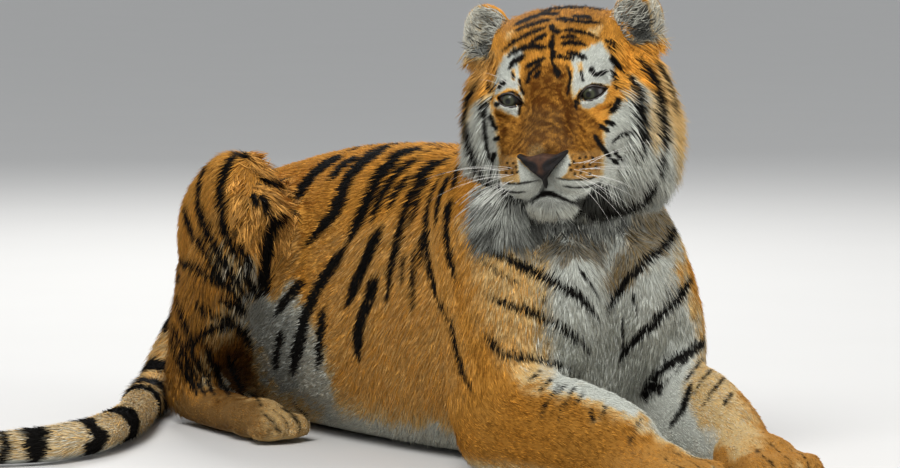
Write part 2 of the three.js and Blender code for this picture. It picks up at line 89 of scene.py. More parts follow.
def smoothMin(a, b, melt):
    mix = np.clip(melt - np.abs(a - b), 0, None) / melt
    return np.minimum(a, b) - mix * mix * melt / 4


def smoothMax(a, b, melt):
    return -smoothMin(-a, -b, melt)


def smoothStep(low, high, x):
    t = np.clip((x - low) / (high - low), 0, 1)
    return t * t * (3 - 2 * t)


def wobble(p, size, seed=0):
    # soft noise between about -1 and 1, with bumps about `size` across
    rng = np.random.default_rng(seed)
    total = np.zeros(len(p))
    for octave in range(3):
        waves = unit(rng.normal(size=(4, 3))) * (2 * math.pi / size) * 1.8**octave
        total += np.sin(p @ waves.T + rng.uniform(0, 2 * math.pi, 4)).sum(axis=1) / (2.2 * 1.6**octave)
    return total / 1.6


def eggField(p, at, half, turn=None):
    local = p - np.array(at, p.dtype)
    if turn is not None:
        local = local @ turn.astype(p.dtype)
    half = np.array(half, p.dtype)
    scaled = local / half
    k = np.sqrt((scaled * scaled).sum(axis=1))
    scaled /= half
    return k * (k - 1) / np.maximum(np.sqrt((scaled * scaled).sum(axis=1)), 1e-6)


def toLine(p, a, b):
    # how far along the way from a to b each point is, from 0 to 1, and how far from it
    ab = b - a
    along = np.clip(((p - a) @ ab) / max(ab @ ab, 1e-12), 0, 1)
    return along, np.linalg.norm(p - a - along[:, None] * ab, axis=1)


def nearBox(points, path, reach):
    # which points lie in a path's box, widened by a reach
    return ((points > path.min(axis=0) - reach) & (points < path.max(axis=0) + reach)).all(axis=1)


def tubeField(p, path, radii):
    # distance to a round tube along a path, with a radius at each of its points
    best = np.full(len(p), 9.0)
    for a, b, ra, rb in zip(path[:-1], path[1:], radii[:-1], radii[1:]):
        along, gone = toLine(p, a, b)
        best = np.minimum(best, gone - (ra + (rb - ra) * along))
    return best


def carve(field, p, path, radii, melt):
    # takes a tube out of a field
    path = np.array(path, float)
    reach = max(radii) + melt + 0.004
    near = nearBox(p, path, reach)
    tube = tubeField(p[near], path, radii)
    field[near] = smoothMax(field[near], -tube, melt)


def turnOf(x, y, z):
    cx, sx, cy, sy, cz, sz = (f(a) for a in (x, y, z) for f in (math.cos, math.sin))
    aboutX = np.array([[1, 0, 0], [0, cx, -sx], [0, sx, cx]])
    aboutY = np.array([[cy, 0, sy], [0, 1, 0], [-sy, 0, cy]])
    aboutZ = np.array([[cz, -sz, 0], [sz, cz, 0], [0, 0, 1]])
    return aboutX @ aboutY @ aboutZ


# surfaces are kept as arrays of corners and triangles
def netOf(field, low, step):
    # the surface where a field on a grid is nought, one corner in each cell that it crosses
    solid = field < 0
    cellShape = np.array(field.shape) - 1
    offsets = [(i, j, k) for i in (0, 1) for j in (0, 1) for k in (0, 1)]
    full = np.zeros(cellShape, np.int8)
    for i, j, k in offsets:
        full += solid[i:cellShape[0] + i, j:cellShape[1] + j, k:cellShape[2] + k]
    cells = np.argwhere((full > 0) & (full < 8))
    number = np.full(cellShape, -1, np.int32)
    number[tuple(cells.T)] = np.arange(len(cells))
    total = np.zeros((len(cells), 3))
    hits = np.zeros(len(cells))
    for start in offsets:
        for axis in range(3):
            if start[axis]:
                continue
            end = tuple(start[n] + (n == axis) for n in range(3))
            a = field[tuple((cells + start).T)]
            b = field[tuple((cells + end).T)]
            cross = (a < 0) != (b < 0)
            share = np.where(cross, a / np.where(cross, a - b, 1), 0)
            spot = np.array(start) + share[:, None] * (np.array(end) - np.array(start))
            total += np.where(cross[:, None], spot, 0)
            hits += cross
    corners = np.array(low) + (cells + total / hits[:, None]) * step
    faces = []
    for axis in range(3):
        u, v = (axis + 1) % 3, (axis + 2) % 3
        first = np.take(solid, range(cellShape[axis]), axis=axis)
        second = np.take(solid, range(1, cellShape[axis] + 1), axis=axis)
        spots = np.argwhere(first != second)
        inner = (spots[:, (u, v)] > 0) & (spots[:, (u, v)] < cellShape[[u, v]])
        spots = spots[inner.all(axis=1)]
        stepU, stepV = np.eye(3, dtype=int)[u], np.eye(3, dtype=int)[v]
        around = ((0, 0), (1, 0), (1, 1), (0, 1))
        ring = [number[tuple((spots - a * stepU - b * stepV).T)] for a, b in around]
        quads = np.stack(ring, axis=1)
        leaving = first[tuple(spots.T)]
        quads[~leaving] = quads[~leaving][:, ::-1]
        faces += [quads[:, [0, 1, 2]], quads[:, [0, 2, 3]]]
    return corners, np.concatenate(faces)


def fieldNet(fieldOf, low, high, step):
    axes = [np.arange(a, b + step, step, dtype=np.float32) for a, b in zip(low, high)]
    grid = np.stack(np.meshgrid(*axes, indexing="ij"), axis=-1)
    field = fieldOf(grid.reshape(-1, 3)).reshape(grid.shape[:3])
    corners, faces = netOf(field, low, step)
    nudge = step / 4
    for _ in range(2):  # the corners settle on the true surface
        here = fieldOf(corners)
        slope = np.stack([(fieldOf(corners + nudge * e) - here) / nudge for e in np.eye(3)], axis=1)
        shift = here / np.maximum((slope * slope).sum(axis=1), 0.3)
        corners = corners - np.clip(shift, -step, step)[:, None] * slope
    return corners, faces


def edgesOf(faces):
    edges = np.sort(np.concatenate([faces[:, [0, 1]], faces[:, [1, 2]], faces[:, [2, 0]]]), axis=1)
    return np.unique(edges, axis=0)


def blur(values, edges, times, share=0.5):
    # each corner's value moves towards the mean of its neighbours
    flat = values.reshape(len(values), -1).astype(float)
    a, b = edges[:, 0], edges[:, 1]
    count = np.maximum(np.bincount(a, minlength=len(flat)) + np.bincount(b, minlength=len(flat)), 1)
    share = np.broadcast_to(share, len(flat))[:, None]
    for _ in range(times):
        mean = np.stack([
            (np.bincount(a, column[b], len(flat)) + np.bincount(b, column[a], len(flat))) / count
            for column in flat.T
        ], axis=1)
        flat = flat + share * (mean - flat)
    return flat.reshape(values.shape)


def normalsOf(corners, faces):
    a, b, c = (corners[faces[:, n]] for n in range(3))
    cross = np.cross(b - a, c - a)
    index = faces.T.ravel()
    total = [np.bincount(index, np.tile(column, 3), len(corners)) for column in cross.T]
    return unit(np.stack(total, axis=1))


def meshOf(name, corners, faces):
    # faces: one array, all with the same number of corners
    mesh = bpy.data.meshes.new(name)
    sides = faces.shape[1]
    mesh.vertices.add(len(corners))
    mesh.vertices.foreach_set("co", corners.astype(np.float32).ravel())
    mesh.loops.add(faces.size)
    mesh.loops.foreach_set("vertex_index", faces.astype(np.int32).ravel())
    mesh.polygons.add(len(faces))
    mesh.polygons.foreach_set("loop_start", np.arange(0, faces.size, sides, dtype=np.int32))
    mesh.polygons.foreach_set("use_smooth", np.ones(len(faces), bool))
    mesh.update(calc_edges=True)
    return mesh


def keep(mesh, name, kind, values):
    # an attribute of the mesh's corners
    field = {"FLOAT": "value", "FLOAT_COLOR": "color", "FLOAT_VECTOR": "vector"}[kind]
    data = mesh.attributes.new(name, kind, "POINT").data
    data.foreach_set(field, values.astype(np.float32).ravel())


def objectOf(name, mesh, material=None):
    piece = bpy.data.objects.new(name, mesh)
    bpy.context.scene.collection.objects.link(piece)
    if material:
        mesh.materials.append(material)
    return piece


def arraysOf(mesh):
    corners = np.zeros(len(mesh.vertices) * 3)
    mesh.vertices.foreach_get("co", corners)
    mesh.calc_loop_triangles()
    faces = np.zeros(len(mesh.loop_triangles) * 3, np.int32)
    mesh.loop_triangles.foreach_get("vertices", faces)
    return corners.reshape(-1, 3), faces.reshape(-1, 3)


def treeOf(corners, faces):
    return BVHTree.FromPolygons(corners.tolist(), faces.tolist())


def hiddenUnder(points, tree, depth):
    # which points lie inside a surface, by more than a depth
    inside = np.zeros(len(points), bool)
    for n, point in enumerate(points.tolist()):
        spot, normal, _, _ = tree.find_nearest(point)
        inside[n] = normal.dot(Vector(point) - spot) < -depth
    return inside


# The head has its own frame: u to its left, v up, w forward, from the point between the eyes.
head = {
    "yaw": 48.0, "roll": 5.6, "origin": (-0.099, -0.262, 0.578),
    "gridStep": 0.0028, "low": (-0.170, -0.200, -0.240), "high": (0.180, 0.160, 0.108),
}
eyeSize = {
    "aside": 0.062, "up": 0.001, "depth": 0.014, "radius": 0.0195, "bulge": 0.0016,
    "gaze": (-0.17, -0.10, 1.0), "rings": 40, "sides": 48,
}


def headBasis():
    yaw, roll = math.radians(head["yaw"]), math.radians(head["roll"])
    side = np.array([math.cos(yaw), -math.sin(yaw), 0.0])
    up = np.array([0.0, 0.0, 1.0])
    u = math.cos(roll) * side + math.sin(roll) * up
    v = -math.sin(roll) * side + math.cos(roll) * up
    return np.stack([u, v, np.array([-math.sin(yaw), -math.cos(yaw), 0.0])])


headAxes = headBasis()


def toHead(p):
    return (p - np.array(head["origin"])) @ headAxes.T


def fromHead(q):
    return np.asarray(q) @ headAxes + np.array(head["origin"])


# centre, half sizes, how softly it melts into the rest, and whether both sides have it
skullMasses = {
    "cranium": ((0, 0.033, -0.116), (0.116, 0.105, 0.106), 0.020, False),
    "forehead": ((0, 0.040, -0.054), (0.086, 0.060, 0.054), 0.030, False),
    "brow": ((0.048, 0.028, -0.025), (0.032, 0.017, 0.025), 0.018, True),
    "socket": ((0.062, 0.000, -0.032), (0.032, 0.026, 0.028), 0.012, True),
    "cheekbone": ((0.084, -0.028, -0.060), (0.046, 0.044, 0.052), 0.030, True),
    "cheek": ((0.064, -0.062, -0.036), (0.046, 0.048, 0.050), 0.030, True),
    "jowl": ((0.078, -0.088, -0.092), (0.062, 0.080, 0.064), 0.036, True),
    "bridge": ((0, -0.026, -0.008), (0.042, 0.044, 0.044), 0.026, False),
    "bridgeTip": ((0, -0.064, 0.036), (0.037, 0.030, 0.044), 0.024, False),
    "muzzle": ((0, -0.088, 0.004), (0.070, 0.048, 0.060), 0.030, False),
    "pad": ((0.037, -0.108, 0.042), (0.041, 0.041, 0.044), 0.012, True),
    "temple": ((0.053, 0.083, -0.106), (0.056, 0.040, 0.064), 0.030, True),
    "ruffBed": ((0.100, -0.074, -0.108), (0.054, 0.096, 0.050), 0.040, True),
    "ruffTop": ((0.104, 0.004, -0.122), (0.047, 0.066, 0.042), 0.034, True),
    "farRuff": ((0.113, -0.080, -0.114), (0.047, 0.080, 0.048), 0.040, False),
    "throat": ((0, -0.118, -0.088), (0.100, 0.072, 0.080), 0.036, False),
}
jawMasses = {
    "chin": ((0, -0.152, 0.034), (0.043, 0.025, 0.034), 0.016, False),
    "jaw": ((0, -0.138, -0.012), (0.062, 0.034, 0.056), 0.022, False),
}


def massField(q, masses):
    field = None
    for at, half, melt, both in masses.values():
        for sign in (1, -1) if both else (1,):
            egg = eggField(q, (sign * at[0], at[1], at[2]), half)
            field = egg if field is None else smoothMin(field, egg, melt)
    return field


def coarseHeadField(q):
    return smoothMin(massField(q, skullMasses), massField(q, jawMasses), 0.008)


faceDepth = {"muzzle": 0.0025, "face": 0.004, "back": 0.009}  # skin under the coat's tips
earForm = {
    "shell": ((0.116, 0.100, -0.128), (0.041, 0.047, 0.024)),
    "cup": ((0.118, 0.103, -0.108), (0.032, 0.038, 0.026)),
    "turn": (-0.25, 0.35, -0.42), "melt": 0.014, "rim": 0.003,
}
# edges of the lids' opening as along and up from the eye's middle, from the inner corner out
lidEdges = {
    "upper": ((-0.0225, -0.0108), (-0.014, 0.0028), (-0.005, 0.0104), (0.004, 0.0120), (0.013, 0.0102),
              (0.0235, 0.0058)),
    "lower": ((-0.0225, -0.0114), (-0.012, -0.0098), (-0.001, -0.0100), (0.008, -0.0084), (0.0165, -0.0034),
              (0.0235, 0.0048)),
}
lidEnds = (-0.0225, 0.0235)
mouthLine = (
    (0, -0.132, 0.084), (0.014, -0.141, 0.082), (0.030, -0.150, 0.074), (0.046, -0.153, 0.056),
    (0.059, -0.148, 0.034), (0.066, -0.138, 0.012),
)
mouthHalf = 0.0022
grooves = {  # path and radii, carved on both sides, and how softly
    "tear": (((0.036, -0.012, 0.012), (0.033, -0.030, 0.030), (0.040, -0.050, 0.040)),
             (0.005, 0.006, 0.004), 0.010),
    "underEye": (((0.044, -0.026, 0.016), (0.066, -0.030, 0.006), (0.086, -0.020, -0.012)),
                 (0.003, 0.0035, 0.003), 0.008),
    "overEye": (((0.040, 0.016, 0.010), (0.060, 0.020, 0.006), (0.082, 0.012, -0.010)),
                (0.003, 0.003, 0.002), 0.007),
    "whiskerPad": (((0.062, -0.070, 0.048), (0.078, -0.092, 0.024), (0.080, -0.112, 0.004)),
                   (0.004, 0.006, 0.005), 0.012),
    "brow": (((0.014, 0.062, 0.004), (0.012, 0.036, 0.014), (0.020, 0.012, 0.022)), (0.002, 0.004, 0.002),
             0.010),
}
philtrum = (((0, -0.106, 0.092), (0, -0.120, 0.090), (0, -0.134, 0.086)), (0.002, 0.003, 0.004), 0.006)
muzzleShift = {"by": 0.0045, "from": -0.05, "to": -0.11}  # the muzzle is a little off the middle


def lidHeight(edge, along):
    points = np.array(lidEdges[edge])
    return np.interp(along, points[:, 0], points[:, 1])


def headField(q):
    q = np.array(q)
    q[:, 0] += muzzleShift["by"] * smoothStep(muzzleShift["from"], muzzleShift["to"], q[:, 1])
    skull = massField(q, skullMasses)
    back = smoothStep(-0.02, -0.10, q[:, 2])
    front = smoothStep(0.0, 0.04, q[:, 2])
    depth = faceDepth["face"] + (faceDepth["back"] - faceDepth["face"]) * back
    depth = depth + (faceDepth["muzzle"] - depth) * front
    field = skull + depth
    jaw = massField(q, jawMasses) + depth
    field = smoothMin(field, jaw, 0.006)
    for path, radii, melt in grooves.values():
        for sign in (1, -1):
            carve(field, q, [(sign * u, v, w) for u, v, w in path], radii, melt)
    carve(field, q, *philtrum)
    for sign in (1, -1):
        eye = np.array((sign * eyeSize["aside"], 0, -eyeSize["depth"]))
        near = (np.abs(q - eye) < 0.045).all(axis=1)
        local = q[near] - eye
        along, up = sign * local[:, 0], local[:, 1]
        part = field[near]
        ball = np.linalg.norm(local * (0.94, 1.0, 1.0), axis=1) - (eyeSize["radius"] + 0.0042)
        part = smoothMin(part, ball, 0.010)
        opening = np.maximum(up - lidHeight("upper", along), lidHeight("lower", along) - up)
        outside = np.maximum(along - lidEnds[1], lidEnds[0] - along)
        opening = np.maximum(opening, outside)
        part = np.where(local[:, 2] > -0.004, smoothMax(part, -opening, 0.0015), part)
        field[near] = part
        turn = turnOf(earForm["turn"][0], sign * earForm["turn"][1], sign * earForm["turn"][2])
        earAt = np.array(earForm["shell"][0]) * (sign, 1, 1)
        near = (np.abs(q - earAt) < 0.075).all(axis=1)
        shell = eggField(q[near], earAt, earForm["shell"][1], turn) + 0.0015
        cup = eggField(q[near], np.array(earForm["cup"][0]) * (sign, 1, 1), earForm["cup"][1], turn)
        wall = smoothMax(shell, -cup, earForm["rim"])
        field[near] = smoothMax(smoothMin(field[near], wall, earForm["melt"]), -cup, earForm["rim"])
    for sign in (1, -1):
        path = [(sign * u, v, w) for u, v, w in mouthLine]
        carve(field, q, path, (mouthHalf,) * len(path), 0.004)
    return field


# The skin: the body's comes from the solids, the head's from its masses.
# node: lie of the hair, its length, the skin's depth under the tips, its lift in degrees
coats = {
    "chest": ((0, 0.5, -0.85), 0.021, 0.0045, 11), "loins": ((0, 1, -0.40), 0.019, 0.0038, 9),
    "rump": ((0, 1, -0.55), 0.020, 0.0040, 9), "neck": ((0, 0.25, -0.97), 0.030, 0.0065, 14),
    "right_upper_arm": ((-0.05, 0.12, -1), 0.018, 0.0038, 10),
    "left_upper_arm": ((0.05, 0.12, -1), 0.018, 0.0038, 10),
    "right_forearm": ((0.12, -0.98, -0.15), 0.014, 0.0032, 9),
    "left_forearm": ((-0.18, -0.98, -0.15), 0.014, 0.0032, 9),
    "right_forepaw": ((0.1, -1, -0.25), 0.009, 0.0022, 9),
    "left_forepaw": ((-0.1, -1, -0.25), 0.009, 0.0022, 9),
    "right_thigh": ((-0.2, 0.35, -0.9), 0.021, 0.0045, 11),
    "left_thigh": ((0.45, 0.5, -0.75), 0.021, 0.0045, 10),
    "right_shank": ((-0.05, 0.25, -0.95), 0.024, 0.0048, 13),
    "left_shank": ((-0.1, 1, -0.2), 0.018, 0.0040, 10),
    "right_hind_foot": ((-0.05, -1, -0.15), 0.009, 0.0022, 9),
    "left_hind_foot": ((0.55, -0.83, -0.1), 0.009, 0.0022, 9),
    "tail_root": ((-0.2, 0.3, -0.9), 0.020, 0.0045, 12),
    "tail_middle": ((-0.6, -0.8, 0), 0.019, 0.0045, 11),
    "tail_tip": ((-1, 0, 0), 0.019, 0.0045, 11), "head": ((0, 0.5, -0.8), 0.026, 0.012, 12),
}
skinMake = {"voxel": 0.0101, "smooth": 16, "settle": 9, "level": 36, "comb": 5}
fineNodes = ("right_forepaw", "left_forepaw", "right_hind_foot", "left_hind_foot", "tail_root",
             "tail_middle", "tail_tip")
tailNodes = ("tail_root", "tail_middle", "tail_tip")

# the right shank's core under its locks: path, half widths, and how much deeper than wide it is
shankCore = {
    "path": ((-0.218, 0.405, 0.358), (-0.216, 0.452, 0.285), (-0.208, 0.530, 0.196), (-0.200, 0.590, 0.104),
             (-0.198, 0.614, 0.050)),
    "half": (0.058, 0.062, 0.056, 0.042, 0.036), "deeper": 1.45,
}


def shankField(p):
    flat = np.array(p, float) * (1, 1 / shankCore["deeper"], 1)
    path = np.array(shankCore["path"]) * (1, 1 / shankCore["deeper"], 1)
    return tubeField(flat, path, shankCore["half"])


def solidOf(name):
    # a flesh node's merged triangles, or the plain core where the node has locks
    if name == "head":
        corners, faces = fieldNet(coarseHeadField, head["low"], head["high"], 0.008)
        return fromHead(corners), faces
    if name == "right_shank":
        return fieldNet(shankField, (-0.30, 0.28, 0.0), (-0.13, 0.72, 0.44), 0.008)
    corners, faces = arraysOf(nodes[name].data)
    corners, where = np.unique(np.round(corners, 6), axis=0, return_inverse=True)
    return corners, where.ravel()[faces]


def wrapped(names):
    # one smooth skin over some nodes, sunk by the coat's depth
    parts, faceParts, owner, count = [], [], [], 0
    for n, name in enumerate(names):
        corners, faces = solidOf(name)
        parts.append(corners)
        faceParts.append(faces + count)
        owner += [n] * len(faces)
        count += len(corners)
    corners, faces = np.concatenate(parts), np.concatenate(faceParts)
    rough = objectOf("rough", meshOf("rough", corners, faces))
    remesh = rough.modifiers.new("remesh", "REMESH")
    remesh.mode = "VOXEL"
    remesh.voxel_size = skinMake["voxel"]
    graph = bpy.context.evaluated_depsgraph_get()
    mesh = bpy.data.meshes.new_from_object(rough.evaluated_get(graph))
    bpy.data.objects.remove(rough)
    skin, skinFaces = arraysOf(mesh)
    tree = treeOf(corners, faces)
    near = np.array([owner[tree.find_nearest(point)[2]] for point in skin.tolist()])
    edges = edgesOf(skinFaces)
    fine = np.isin(near, [n for n, name in enumerate(names) if name in fineNodes]).astype(float)
    fine = blur(fine, edges, 6)
    skin = blur(skin, edges, skinMake["smooth"], 0.55 * (1 - 0.82 * fine))
    table = np.array([[*unit(np.array(coats[name][0], float)), *coats[name][1:]] for name in names])
    values = blur(table[near], edges, skinMake["settle"])
    sunk = np.zeros(len(skin))  # how far the smoothing took the skin in, which is given back
    for n, point in enumerate(skin.tolist()):
        spot, normal, _, _ = tree.find_nearest(point)
        sunk[n] = min(max(normal.dot(spot - Vector(point)), -0.006), 0.020)
    back = blur(sunk, edges, skinMake["level"])[:, None] - values[:, 4:5]
    normals = normalsOf(skin, skinFaces)
    skin = skin + normals * back
    lie = values[:, :3]
    for _ in range(skinMake["comb"]):  # the hair's lie runs smoothly along the skin
        lie = unit(lie - (lie * normals).sum(axis=1, keepdims=True) * normals)
        lie = blur(lie, edges, 5)
    return skin, skinFaces, np.concatenate([lie, values[:, 3:]], axis=1), near


# paws: wrist, heading, and length, width and height; the gaps between toes run over their tops
paws = {
    "right_forepaw": ((-0.114, -0.450), 0.16, (0.190, 0.138, 0.094)),
    "left_forepaw": ((0.094, -0.462), -0.16, (0.190, 0.138, 0.094)),
    "right_hind_foot": ((-0.214, 0.440), 0.02, (0.160, 0.112, 0.072)),
    "left_hind_foot": ((0.306, 0.568), 0.55, (0.160, 0.112, 0.072)),
}
toeGap = {
    "pitch": 0.235, "line": ((0.60, 0.88), (0.78, 0.84), (0.93, 0.62), (1.03, 0.36), (1.06, 0.10)),
    "deep": 0.0058, "wide": 0.0085, "half": 0.0022,
}


def toeLines():
    lines = []
    for (x, y), heading, (long, wide, high) in paws.values():
        turn = np.array([[math.cos(heading), math.sin(heading)], [-math.sin(heading), math.cos(heading)]])
        for step in (-1, 0, 1):
            flat = np.array([
                (step * (0.8 + 0.25 * t) * toeGap["pitch"] * wide, -t * long) for t, _ in toeGap["line"]
            ]) @ turn
            height = np.array([h * high for _, h in toeGap["line"]])
            lines.append(np.stack([flat[:, 0] + x, flat[:, 1] + y, height], axis=1))
    return lines


def gapped(skin, faces):
    # the skin pulled in between the toes
    normals = normalsOf(skin, faces)
    for line in toeLines():
        gone = tubeField(skin, line, [0.0] * len(line))
        skin = skin - normals * (toeGap["deep"] * np.exp(-(gone / toeGap["wide"]) ** 2))[:, None]
    return skin


def bodySkin():
    flesh, tail = [name for name in coats if name not in tailNodes], list(tailNodes)
    skin, faces, values, near = wrapped(flesh)
    skin = gapped(skin, faces)
    tailSkin, tailFaces, tailValues, tailNear = wrapped(tail)
    skin, faces = np.concatenate([skin, tailSkin]), np.concatenate([faces, tailFaces + len(skin)])
    values, near = np.concatenate([values, tailValues]), np.concatenate([near, tailNear + len(flesh)])
    return skin, faces, edgesOf(faces), values, near, flesh + tail


def headSkin():
    corners, faces = fieldNet(headField, head["low"], head["high"], head["gridStep"])
    return blur(corners, edgesOf(faces), 1, 0.35), faces


headPoints, headFaces = headSkin()
print("head skin:", len(headFaces), "triangles")
bodyPoints, bodyFaces, bodyEdges, bodyValues, bodyNear, bodyNames = bodySkin()
print("body skin:", len(bodyFaces), "triangles")
skinPoints = np.concatenate([bodyPoints, fromHead(headPoints)])
skinFaces = np.concatenate([bodyFaces, headFaces + len(bodyPoints)])
skinNormals = normalsOf(skinPoints, skinFaces)
skinTree = treeOf(skinPoints, skinFaces)
headStart = len(bodyPoints)

